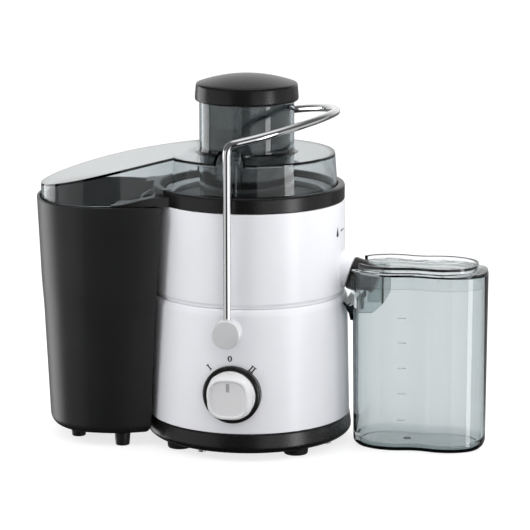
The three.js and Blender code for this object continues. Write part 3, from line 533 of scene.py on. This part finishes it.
# ---------------------------------------------------------------- lid, bin cover and feed chute
LID_TOP, LID_BOTTOM, LID_R, LID_WALL = 223.9, 196.8, 67.6, 2.2
COVER_START, COVER_BEND, COVER_END = Vector((BIN.x0, 196.6)), Vector((-84, 217)), Vector((-50, LID_TOP))
CHUTE_X, CHUTE_R = (PUSHER.x0 + PUSHER.x1) / 2, PUSHER.r + 2.7
SKIRT = BIN.z1 + 0.4


def cover_curve(drop, skirt, end=40):
    """The side view of the bin cover, from its lower edge over its curved top."""
    points = [(-180, skirt), (-180, COVER_START.y - 4 - drop)]
    for i in range(29):
        t = i / 28
        p = COVER_START * (1 - t) ** 2 + COVER_BEND * 2 * t * (1 - t) + COVER_END * t * t
        points.append((p.x, p.y - drop))
    return points + [(end, LID_TOP - drop), (end, skirt)]


def cover_solid(inset, hug, drop, skirt):
    """The bin's plan carried up to the cover's curve."""
    plan = [(x, y) for x, y in bin_outline(inset, 0, hug)]
    return boolean("INTERSECT", loft([[(x, y, z) for x, y in plan] for z in (140, 235)]),
                   prism(cover_curve(drop, skirt), -100, 100))


def lug(half, low, high, start, end):
    """Round-topped hump in front of the chute, or behind it, that the handle locks over."""
    arch = [(half * math.cos(a), high - half + half * math.sin(a))
            for a in (math.pi * i / 20 for i in range(21))]
    return loft([[(x, y, z) for x, y in [(half, low), *arch, (-half, low)]] for z in (start, end)])


drum = turned([(0, LID_BOTTOM), (LID_R, LID_BOTTOM, 0.5), (LID_R - 2, LID_TOP, 1.0), (0, LID_TOP)])
drum_inside = turned([
    (0, 100), (LID_R - LID_WALL, 100), (LID_R - LID_WALL, LID_BOTTOM), (LID_R - 4.2, LID_TOP - LID_WALL, 1.2),
    (0, LID_TOP - LID_WALL)])
under = prism([
    (-220, 150), (0, 150), (0, HORN_HIGH + 0.3), *horn_edge(0.3), (HORN_END - 1, HORN_LOW + 0.3),
    (HORN_END - 1, SKIRT), (-220, SKIRT)], -100, 100)
ring_room = turned([
    (0, 150), (RING.r + 0.6, 150), (RING.r + 0.6, RING.z1 + 0.3), (LID_R - 1, RING.z1 + 0.3),
    (LID_R - 1, LID_BOTTOM - 0.9), (0, LID_BOTTOM - 0.9)])
cover = boolean("DIFFERENCE", cover_solid(3.4, 56, 0, 150), under, ring_room)
CHUTE_BORE, CHUTE_LOW = CHUTE_R - LID_WALL, 158
bore = moved(turned([(0, 100), (CHUTE_BORE, 100), (CHUTE_BORE, 300), (0, 300)]), CHUTE_X)
flare = moved(turned([
    (CHUTE_R - 1, LID_TOP - 1), (CHUTE_R + 3.4, LID_TOP - 1), (CHUTE_R + 3.2, LID_TOP + 0.2, 0.4),
    (CHUTE_R + 0.6, LID_TOP + 0.5, 1.2), (CHUTE_R, LID_TOP + 4), (CHUTE_R - 1, LID_TOP + 4)], True), CHUTE_X)
chute = moved(turned([
    (CHUTE_BORE, CHUTE_LOW, 0.5), (CHUTE_R, CHUTE_LOW, 0.5), (CHUTE_R, LID.z1, 0.7), (CHUTE_BORE, LID.z1, 0.7)],
    True), CHUTE_X)
LUG_HALF, LUG_TOP, LUG_WALL = 12, 235.6, 1.8
lugs = [facing(side, lug(LUG_HALF, 219, LUG_TOP, 34, 64), CHUTE_X) for side in SIDES]
lug_insides = [facing(side, lug(LUG_HALF - LUG_WALL, 210, LUG_TOP - LUG_WALL, 36, 64 - LUG_WALL), CHUTE_X)
               for side in SIDES]
# The drum's left side runs on into the cover's curve.
drum = boolean("INTERSECT", drum, prism(cover_curve(0, 90, 90), -100, 100))
drum_inside = boolean("INTERSECT", drum_inside, prism(cover_curve(LID_WALL, 90, 90), -100, 100))
skin = boolean("UNION", drum, cover, *lugs)
skin = boolean("DIFFERENCE", skin, drum_inside, cover_solid(5.6, 50, LID_WALL, 150), *lug_insides, bore)
make("lid_and_chute", boolean("UNION", skin, flare, chute), "housing", "smoked_clear_plastic", ["lid"],
     look=LID_LOOK, bevel=0.45, sharp=40)

# ---------------------------------------------------------------- pusher
KEY_TURN = 10  # degrees from the front to the key on the pusher's side
PUSHER_WALL = 2
cup = turned([
    (0, PUSHER.z0), (PUSHER.r - 0.6, PUSHER.z0, 1), (PUSHER.r, PUSHER.z0 + 3, 1.5), (PUSHER.r, PUSHER.z1, 0.3),
    (PUSHER.r - PUSHER_WALL, PUSHER.z1, 0.3), (PUSHER.r - PUSHER_WALL, PUSHER.z0 + PUSHER_WALL, 1.5),
    (0, PUSHER.z0 + PUSHER_WALL),
])
key = moved(block(-2.6, 2.6, -PUSHER.r + 0.6, -PUSHER.r + 4.5, PUSHER.z0 + 1, PUSHER.z1 - 0.8), turn=KEY_TURN)
make("pusher_tube", moved(boolean("UNION", cup, key), CHUTE_X), "pusher", "smoked_clear_plastic", ["pusher_body"],
     look=PUSHER_LOOK)
CAP_SIDE, DOME = CAP.z1 - 7.2, 6.5  # the top of its straight side, and the height of its domed top
DOME_R = CAP.r - 1.9
dome = [(r, CAP.z1 - DOME * (r / DOME_R) ** 2) for r in (DOME_R * (1 - i / 16) for i in range(16))]
make("pusher_knob", moved(turned([
    (0, CAP.z0 + 0.6), (CAP.r - 5, CAP.z0 + 0.6, 0.6), (CAP.r - 4.4, CAP.z0, 0.4), (CAP.r - 0.5, CAP.z0, 0.8),
    (CAP.r, CAP.z0 + 1.6, 0.8), (CAP.r - 0.8, CAP_SIDE - 0.8, 0.8), (CAP.r - 1.2, CAP_SIDE + 0.3, 0.6), *dome,
    (0, CAP.z1)]), CHUTE_X), "pusher", "black_plastic", ["pusher_cap"])

# ---------------------------------------------------------------- filter basket
make("filter_cone", turned([
    (BASKET.r - 22, BASKET.z0, 0.3), (BASKET.r, BASKET.z1, 0.3), (BASKET.r - 1.2, BASKET.z1, 0.3),
    (BASKET.r - 23.2, BASKET.z0, 0.3)], True), "rotor", "steel", ["filter_mesh"], look=MESH_LOOK)
make("filter_rim", turned([
    (BASKET.r - 3.4, RIM.z0, 0.4), (RIM.r, RIM.z0, 0.8), (RIM.r, RIM.z1 - 0.4, 1.2), (RIM.r - 2.2, RIM.z1, 1),
    (RIM.r - 3.4, RIM.z1 - 1.6, 0.8), (BASKET.r - 3.4, RIM.z1 - 1.6, 0.6)], True),
     "rotor", "steel", ["basket_rim"], look=RIM_LOOK)

# ---------------------------------------------------------------- dial
make("dial_bezel", facing("front", turned([
    (4, -DIAL.y1), (DIAL.disc_r, -DIAL.y1), (DIAL.disc_r, -DIAL.y0 - 1.4, 0.5), (DIAL.disc_r - 1.4, -DIAL.y0, 0.6),
    (DIAL.disc_r - 2.8, -DIAL.y0, 0.4), (DIAL.disc_r - 3, -DIAL.y0 - 4.6, 0.5), (4, -DIAL.y0 - 4.6)], True),
    DIAL.x, DIAL.z), "housing", "black_plastic", ["dial_ring"])


def squircle(half, z, power=3.0):
    """Outline between a circle and a square, in the plane at z."""
    points = []
    for i in range(MEDIUM):
        c, s = math.cos(2 * math.pi * i / MEDIUM), math.sin(2 * math.pi * i / MEDIUM)
        x, y = (math.copysign(half * abs(part) ** (2 / power), part) for part in (c, s))
        points.append((x, y, z))
    return points


def capsule(half, length, z0, z1):
    """Round-ended bar along Y."""
    arc = [(half * math.cos(a), half * math.sin(a) + math.copysign(length / 2 - half, math.sin(a + 1e-6)))
           for a in (2 * math.pi * i / 32 for i in range(32))]
    return loft([[(x, y, z) for x, y in arc] for z in (z0, z1)])


face = -KNOB.y0
disc = turned([
    (0, face - 16.4), (KNOB.disc_r - 0.5, face - 16.4, 0.4), (KNOB.disc_r, face - 13, 0.8),
    (KNOB.disc_r - 0.5, face - 10, 0.9), (0, face - 9.6)], segments=MEDIUM)
grip = loft([squircle(half, z) for half, z in rounded([
    (17.0, face - 11), (16.3, face - 5, 2.5), (15.7, face - 0.9, 1.1), (14.7, face, 0.7), (13.7, face, 0.5),
    (13.2, face - 1.1, 0.5), (11, face - 1.2)])])
POINTER_UP = 8.5  # from the knob's middle to the middle of its pointer
slot_bar = moved(capsule(1.35, 7, face - 2.0, face + 2), 0, POINTER_UP)
spindle_hole = turned([(0, 70), (3.2, 70), (3.2, face - 10.6), (0, face - 10.6)], segments=SMALL)
knob = boolean("DIFFERENCE", boolean("UNION", disc, grip), slot_bar, spindle_hole)
make("dial_knob_grip", facing("front", knob, DIAL.x, DIAL.z), "dial_knob", "silver_plastic", ["knob"],
     look=KNOB_LOOK)
pointer = moved(capsule(1.3, 6.9, face - 2.4, face - 1.6), 0, POINTER_UP)
make("dial_pointer", facing("front", pointer, DIAL.x, DIAL.z), "dial_knob", "silver_plastic", look=GROOVE_LOOK)

# ---------------------------------------------------------------- printed marks
MARKS = {"0": (-1.6, 27.2, 0), "1": (-17.7, 19.7, -42), "2": (15.1, 19.4, 39)}  # across, up, turn


def on_housing(across, up, turn):
    """Places marks on the housing's front, turned and moved from the dial's middle."""
    c, s = math.cos(math.radians(turn)), math.sin(math.radians(turn))

    def place(u, v, proud):
        x, z = DIAL.x + across + u * c + v * s, DIAL.z + up - u * s + v * c
        radius = HOUSING.r - HOUSING_TAPER * (z - BASE.z1) / (HOUSING.z1 - SHOULDER - BASE.z1) + proud
        return Vector((x, -math.sqrt(radius ** 2 - x * x), z))
    return place


def on_collector(azimuth, height):
    """Places marks on the juice collector's side."""
    def place(u, v, proud):
        z = height + v
        radius = COLLECTOR.r - COLLECTOR_TAPER * (z - COLLECTOR.z0) / (COLLECTOR.z1 - COLLECTOR.z0) + proud
        turn = math.radians(azimuth) + u / radius
        return Vector((radius * math.sin(turn), -radius * math.cos(turn), z))
    return place


SUNK, PROUD = -0.25, 0.07  # how far the ink reaches into the wall and stands out of it


def printed(name, strokes, place):
    """Thin ink strokes, each an outline of (u, v) points."""
    verts, faces = [], []
    for outline in strokes:
        start, count = len(verts), len(outline)
        verts += [place(u, v, depth) for depth in (SUNK, PROUD) for u, v in outline]
        for i in range(count):
            j = (i + 1) % count
            faces.append((start + i, start + j, start + count + j, start + count + i))
        faces += [tuple(range(start, start + count)), tuple(range(start + count, start + 2 * count))]
    make(name, (verts, faces), "housing", "black_plastic", look=INK)


def bar(x0, x1, y0, y1):
    """Outline of a straight stroke."""
    return [(x0, y0), (x1, y0), (x1, y1), (x0, y1)]


def one(x):
    """Strokes of a Roman one at x."""
    return [bar(x - 0.52, x + 0.52, -1.85, 1.85), *(bar(x - 1.15, x + 1.15, y, y + 0.6) for y in (-2.4, 1.8))]


def oval(a, width, height):
    return width * math.cos(a), height * math.sin(a)


zero = []
for k in range(24):
    a0, a1 = (2 * math.pi * (k + i) / 24 for i in (0, 1))
    zero.append([oval(a0, 1.75, 2.3), oval(a1, 1.75, 2.3), oval(a1, 0.6, 1.65), oval(a0, 0.6, 1.65)])
printed("mark_0", zero, on_housing(*MARKS["0"]))
printed("mark_1", one(0), on_housing(*MARKS["1"]))
printed("mark_2", one(-1.15) + one(1.15), on_housing(*MARKS["2"]))
half_drop = [(0.9, 1.2), (1.7, -1), (1.9, -2.2), (1.5, -3.4)]
drop = [(0, 4), *half_drop, (0, -4), *((-u, v) for u, v in reversed(half_drop))]
arrow = [[(6.4, 0), (9, -1.3), (9, 1.3)], *(bar(u, u + 3, -0.35, 0.35) for u in (9, 12, 15))]
printed("mark_drop", [drop, *arrow], on_collector(77, 166.5))

# ---------------------------------------------------------------- locking handle
ROD = 3
LEG_Y, LEG_BOTTOM = BAIL.y1 - ROD, BUTTON.z + 5
BEND_Z, LOOP_X, LOOP_Z = 241, BAIL.x1 - ROD, 255.8  # the height of the legs' bends, and the far end of the loop
SLOPE = (LOOP_Z - BEND_Z) / LOOP_X
POINT = 1.6  # below 2 the loop is pointed
LOOP_START = 0.16  # radians of the loop that the bends take up
side_path = [Vector((0, -LEG_Y, LEG_BOTTOM)), Vector((0, -LEG_Y, BEND_Z - 40)), Vector((0, -LEG_Y, BEND_Z - 8))]


def on_loop(t):
    """A point on the loop, from the front leg (t = 0) to the rear leg (t = pi)."""
    across = math.copysign(abs(math.cos(t)) ** (2 / POINT), math.cos(t))
    x = LOOP_X * math.sin(t) ** (2 / POINT)
    return Vector((x, -LEG_Y * across, BEND_Z + SLOPE * x))


first = on_loop(LOOP_START)
bend = Vector((0, -LEG_Y, BEND_Z + 0.6))
for i in range(1, 10):
    t = i / 10
    side_path.append(side_path[2] * (1 - t) ** 2 + bend * 2 * t * (1 - t) + first * t * t)
loop = [on_loop(LOOP_START + (math.pi - 2 * LOOP_START) * i / 64) for i in range(65)]
path = side_path + loop + [Vector((p.x, -p.y, p.z)) for p in reversed(side_path)]


def swept(points, radius, segments=28):
    """Round rod along the points, flat at both ends."""
    rings = []
    across = Vector((1, 0, 0))
    for i, here in enumerate(points):
        ahead = (points[min(i + 1, len(points) - 1)] - points[max(i - 1, 0)]).normalized()
        across = (across - ahead * across.dot(ahead)).normalized()
        up = ahead.cross(across)
        rings.append([here + (across * math.cos(a) + up * math.sin(a)) * radius
                      for a in (2 * math.pi * k / segments for k in range(segments))])
    return loft(rings)


make("handle_rod", swept(path, ROD), "bail", "chrome", ["bail_handle"])
for side in SIDES:
    outer = -BUTTON.y0
    disc = turned([
        (0, 62), (3.6, 62), (3.6, 78.6, 0.4), (BUTTON.disc_r - 0.4, 78.6, 0.3), (BUTTON.disc_r, 79.2, 0.3),
        (BUTTON.disc_r, outer - 0.7, 0.5), (BUTTON.disc_r - 0.7, outer, 0.5), (0, outer)], segments=MEDIUM)
    make(f"pivot_disc_{side}", facing(side, disc, 0, BUTTON.z), "bail", "silver_plastic",
         [f"pivot_button_{side}"])
    bush = turned([
        (4, 68), (5.6, 68), (5.6, 75.0), (10.2, 75.0), (9.4, 76.8, 0.8), (9.2, 78.3, 0.3), (4, 78.3)], True, SMALL)
    make(f"pivot_collar_{side}", facing(side, bush, 0, BUTTON.z), "housing", "white_plastic",
         [f"pivot_bush_{side}"])

# ---------------------------------------------------------------- juice jug
WALL = 2.2
JUG_LEFT, JUG_RIGHT, JUG_HALF = JUG_LID.x1 - 104.4, JUG.x1, JUG.r
SQUARE_X, SQUARE_Y = 0.78, 0.7  # below 1 the plan's ends get squarer than an ellipse's
WAIST, WAIST_SPAN = 4.5, 0.33  # depth of the waist, and its half length as a share of the jug's


def jug_outline(inset, drop):
    """The jug's plan: a long rounded shape with a slight waist. drop is 0 at the top and 1 at the bottom."""
    left, right = JUG_LEFT + inset + drop * 1.6, JUG_RIGHT - inset - drop * 0.6
    half = JUG_HALF - inset - drop * 1.6
    points = []
    for i in range(160):
        c, s = math.cos(2 * math.pi * i / 160), math.sin(2 * math.pi * i / 160)
        x, y = math.copysign(abs(c) ** SQUARE_X, c), math.copysign(abs(s) ** SQUARE_Y, s)
        width = half - WAIST * math.exp(-((x / WAIST_SPAN) ** 2))
        points.append(((left + right) / 2 + x * (right - left) / 2, y * width))
    return points


def jug_wall(profile):
    """Solid that follows the jug's plan, from (inset, z, corner size) points."""
    rings = []
    for inset, z in rounded(profile):
        rings.append([(x, y, z) for x, y in jug_outline(inset, max(0, 1 - z / JUG_TOP))])
    return loft(rings)


JUG_TOP, JUG_FLOOR = JUG.z1, 3
NOTCH, NOTCH_END = 16.5, BAFFLE.x1  # half the width of the opening under the spout, and how far it reaches
body = jug_wall([
    (9, 0), (3.4, 0, 1.2), (0, 3.4, 2), (0, JUG_TOP, 0.6), (WALL, JUG_TOP, 0.6), (WALL, 7.2, 3), (6, JUG_FLOOR, 2),
    (11, JUG_FLOOR)])
body = boolean("DIFFERENCE", body, block(60, 100, -NOTCH, NOTCH, 108, 160))
# The lip hooks out under the spout, and its wings run up to the jug's rim.
lip_side = [(84.6, 99), (84.6, 111.0), (83.4, 110.8), (82.4, 109.8), (80.6, 109.8), (77.6, 112.6), (76.7, 112.8),
            (76.0, 112.0), (78.4, 108.4), (80.6, 104.6), (82.0, 99)]
lip = prism(lip_side, -NOTCH - 1, NOTCH + 1)
wing_side = [(84.6, 104), (81.0, 105), (76.2, 112.4), (79.0, 122), (82.4, 133), (84.6, 135.6)]
wings = [prism(wing_side, y, y + 1.2) for y in (-NOTCH - 1.2, NOTCH)]
make("jug_shell", boolean("UNION", body, lip, *wings), "jug_body", "smoked_clear_plastic", ["jug"])

TICKS = (25, 45.8, 65.8, 85.4, 104.6)  # heights of the raised volume marks
GATE = (124, 3)  # where the moulding left a mark on the floor


def front_wall(x, z, proud):
    """A point on the jug's front wall."""
    edge = [p for p in jug_outline(0, 1 - z / JUG_TOP) if p[1] < 0]
    near = min(edge, key=lambda p: abs(p[0] - x))
    return Vector((x, near[1] - proud, z))


def raised(outline):
    """A raised patch on the jug's front wall, given as (x, z) corners."""
    count = len(outline)
    verts = [front_wall(x, z, proud) for proud in (-0.3, 0.3) for x, z in outline]
    faces = [(i, (i + 1) % count, count + (i + 1) % count, count + i) for i in range(count)]
    return verts, faces + [tuple(range(count)), tuple(range(count, 2 * count))]


for number, z in enumerate(TICKS, 1):
    make(f"jug_tick_{number}", raised(bar(120, 126.5, z - 0.35, z + 0.35)), "jug_body", "smoked_clear_plastic",
         look=FROSTED)
low, top = JUG_FLOOR - 0.2, JUG_FLOOR + 0.8
make("jug_gate", moved(turned([(0, low), (3.2, low), (2.4, top, 0.4), (0, top)], segments=SMALL), *GATE),
     "jug_body", "smoked_clear_plastic", look=FROSTED)

FLANGE, RIDGE, SKIRT_Z = 138, JUG_LID.z1, JUG_LID.z0  # heights of its flange, its ridge and its skirt's edge
RIDGE_IN, RIDGE_OUT, OVERHANG, SKIRT_OUT, SKIRT_IN = 5.2, 3.4, -1.4, 2.6, 4.3  # insets from the jug's outside
jug_cover = jug_wall([
    (16, FLANGE), (RIDGE_IN, FLANGE, 0.7), (RIDGE_IN, RIDGE, 0.5), (RIDGE_OUT, RIDGE, 0.5), (RIDGE_OUT, FLANGE, 2),
    (OVERHANG, FLANGE, 0.5), (OVERHANG, JUG_TOP + 0.3, 0.5), (SKIRT_OUT, JUG_TOP + 0.3, 0.3),
    (SKIRT_OUT, SKIRT_Z, 0.5), (SKIRT_IN, SKIRT_Z, 0.5), (SKIRT_IN, FLANGE - 2, 0.8), (16, FLANGE - 2)])
# The bead on the ridge is painted shade: strongly absorbing plastic that paints the dark line refraction makes
# along the ridge, deeper at the front than at the rear.
ridge_shade_bead = hoop([[(x, y, RIDGE - depth * (0.25 + 0.75 / (1 + math.exp(y / 5)))) for x, y in jug_outline(inset, 0)]
             for inset, depth in ((5.3, 1.9), (5.3, -0.02), (3.3, -0.02), (3.3, 1.9))])
# The cover's right end keeps clear of the jug's edge, the ridge more than the flange.
for v in jug_cover[0] + ridge_shade_bead[0]:
    if v.z > JUG_TOP:
        v.x -= (4.5 if v.z > FLANGE + 0.5 else 2) * (v.x - JUG_LEFT) / (JUG_RIGHT - JUG_LEFT)
open_end = block(60, NOTCH_END - 2, -NOTCH + 1.5, NOTCH - 1.5, 90, 160)
jug_cover = boolean("DIFFERENCE", jug_cover, open_end,
                    block(60, NOTCH_END + 0.4, -NOTCH - 0.4, NOTCH + 0.4, 90, JUG_TOP + 0.1))
make("jug_cover_ridge_shade", boolean("DIFFERENCE", ridge_shade_bead, open_end), "jug_cover", "smoked_clear_plastic",
     look=RIDGE_SHADE_LOOK)
make("jug_cover", jug_cover, "jug_cover", "smoked_clear_plastic", ["jug_lid"], look=COVER_LOOK)
HOOD_LEFT, HOOD_LOW = 89, 104.5
hood_side = [(HOOD_LEFT, HOOD_LOW), (99, HOOD_LOW), (NOTCH_END, 112.7), (NOTCH_END, JUG_TOP - 0.1),
             (HOOD_LEFT, JUG_TOP - 0.1)]
hood = boolean("DIFFERENCE", prism(hood_side, -NOTCH + 0.3, NOTCH - 0.3),
               block(60, NOTCH_END - 1.6, -NOTCH + 2, NOTCH - 2, 90, 160))
make("jug_froth_guard", hood, "jug_cover", "smoked_clear_plastic", ["froth_baffle"],
     look=GUARD_LOOK, bevel=0.3, sharp=30)

# ---------------------------------------------------------------- finish of the CAD nodes that still show
for name, node in frame["nodes"].items():
    slot = next(p["material_slot"] for p in frame["record"]["subparts"] if p["node"] == name)
    node.data.materials.clear()
    node.data.materials.append(LOOKS[slot])

# ---------------------------------------------------------------- floor, light and camera
FLOOR_R, FLOOR_TOP = 9000, -0.2  # just under the feet
floor_mesh = mesh_object("floor", turned([
    (0, FLOOR_TOP), (FLOOR_R, FLOOR_TOP), (FLOOR_R, -1), (0, -1)], segments=64))
for v in floor_mesh.data.vertices:
    v.co *= MM
floor_mesh.data.materials.append(studio_floor())
floor_mesh.visible_glossy = False

MIDDLE = ORIGIN + Vector((0, 0, 150)) * MM
LAMP_AWAY, MIRRORED_TOP = 1.3, 0.32  # metres: every lamp's distance, and the top edge of the mirrored ones
SHADE_HEIGHT, MIRRORED_HEIGHT = 3.2, 0.85


def softbox(name, azimuth, width, radiance, height, mirrored):
    """Upright area light that faces the object, azimuth 0 in front and 90 on the right.
    A mirrored one shows only as a highlight; the others only shade."""
    lamp = bpy.data.lights.new(name, "AREA")
    lamp.shape, lamp.size, lamp.size_y = "RECTANGLE", width, height
    lamp.energy = radiance * math.pi * width * height
    obj = bpy.data.objects.new(name, lamp)
    away = Vector((math.sin(math.radians(azimuth)), -math.cos(math.radians(azimuth)), 0))
    obj.location = MIDDLE + away * LAMP_AWAY
    obj.location.z = MIRRORED_TOP - height / 2 if mirrored else 0
    obj.visible_glossy, obj.visible_diffuse, obj.visible_transmission = mirrored, not mirrored, False
    obj.rotation_mode = "QUATERNION"
    obj.rotation_quaternion = away.to_track_quat("Z", "Y")
    bpy.context.scene.collection.objects.link(obj)


for name, azimuth, width, radiance in (
        ("left_shade", -70, 1.2, 3.0), ("right_shade", 97, 1.0, 3.7), ("front_shade", 36, 1.0, 1.6)):
    softbox(name, azimuth, width, radiance, SHADE_HEIGHT, False)
for name, azimuth, width, radiance in (
        ("left_key", -110, 0.85, 2.3), ("left_strip", -52, 1.5, 0.6), ("right_fill", 40, 0.85, 0.95),
        ("right_key", 64, 0.3, 6.0), ("right_strip", 100, 1.3, 0.5)):
    softbox(name, azimuth, width, radiance, MIRRORED_HEIGHT, True)
sky = bpy.data.lights.new("overhead", "SUN")
sky.energy, sky.angle = 1.8, math.radians(110)
overhead = bpy.data.objects.new("overhead", sky)
overhead.rotation_euler = (math.radians(-8), 0, 0)
overhead.visible_glossy = False
bpy.context.scene.collection.objects.link(overhead)

# The lens sees a white room. The object sees it graded: bright behind and overhead, dark in front and below.
world = bpy.data.worlds.new("studio")
bpy.context.scene.world = world
world.use_nodes = True
nodes, links = world.node_tree.nodes, world.node_tree.links
place = add(nodes, "TexCoord")
split = add(nodes, "SeparateXYZ")
links.new(place.outputs["Generated"], split.inputs["Vector"])


def graded(axis, start, end, low, high):
    """How bright the room is along an axis, eased from low to high."""
    ease = add(nodes, "MapRange", From_Min=start, From_Max=end, To_Min=low, To_Max=high)
    ease.interpolation_type = "SMOOTHSTEP"
    links.new(split.outputs[axis], ease.inputs["Value"])
    return ease.outputs["Result"]


both = add(nodes, "Math")
both.operation = "MULTIPLY"
links.new(graded("Y", 0.45, 0.97, 0.12, 0.95), both.inputs[0])
links.new(graded("Z", -0.14, 0, 0.22, 1), both.inputs[1])
above = add(nodes, "Math")
above.operation = "MAXIMUM"
links.new(both.outputs["Value"], above.inputs[0])
links.new(graded("Z", 0.72, 0.95, 0, 0.9), above.inputs[1])
back = nodes["Background"]
back.inputs["Color"].default_value = (1, 1, 1, 1)
links.new(above.outputs["Value"], back.inputs["Strength"])
pale = add(nodes, "Background", Color=(1, 1, 1, 1))
path_kind = add(nodes, "LightPath")
mix = add(nodes, "MixShader")
links.new(path_kind.outputs["Is Camera Ray"], mix.inputs["Fac"])
links.new(back.outputs["Background"], mix.inputs[1])
links.new(pale.outputs["Background"], mix.inputs[2])
links.new(mix.outputs["Shader"], nodes["World Output"].inputs["Surface"])

camera = bpy.data.objects.new("camera", bpy.data.cameras.new("camera"))
bpy.context.scene.collection.objects.link(camera)
bpy.context.scene.camera = camera
CAMERA_AZIMUTH, CAMERA_DOWN, CAMERA_DISTANCE = 11.3, 11.9, 2028
SENSOR, LENS = 36, 178.9
AIM = Vector((11.86, 2.37, 134.8))
a, e = math.radians(CAMERA_AZIMUTH), math.radians(CAMERA_DOWN)
away = Vector((math.sin(a) * math.cos(e), -math.cos(a) * math.cos(e), math.sin(e)))
camera.location = ORIGIN + (AIM + away * CAMERA_DISTANCE) * MM
camera.rotation_euler = (math.radians(90) - e, 0, a)
camera.data.sensor_width, camera.data.lens = SENSOR, LENS
camera.data.clip_start, camera.data.clip_end = 0.05, 60

scene = bpy.context.scene
scene.view_settings.view_transform = "Standard"
scene.cycles.max_bounces = scene.cycles.transmission_bounces = scene.cycles.transparent_max_bounces = 32
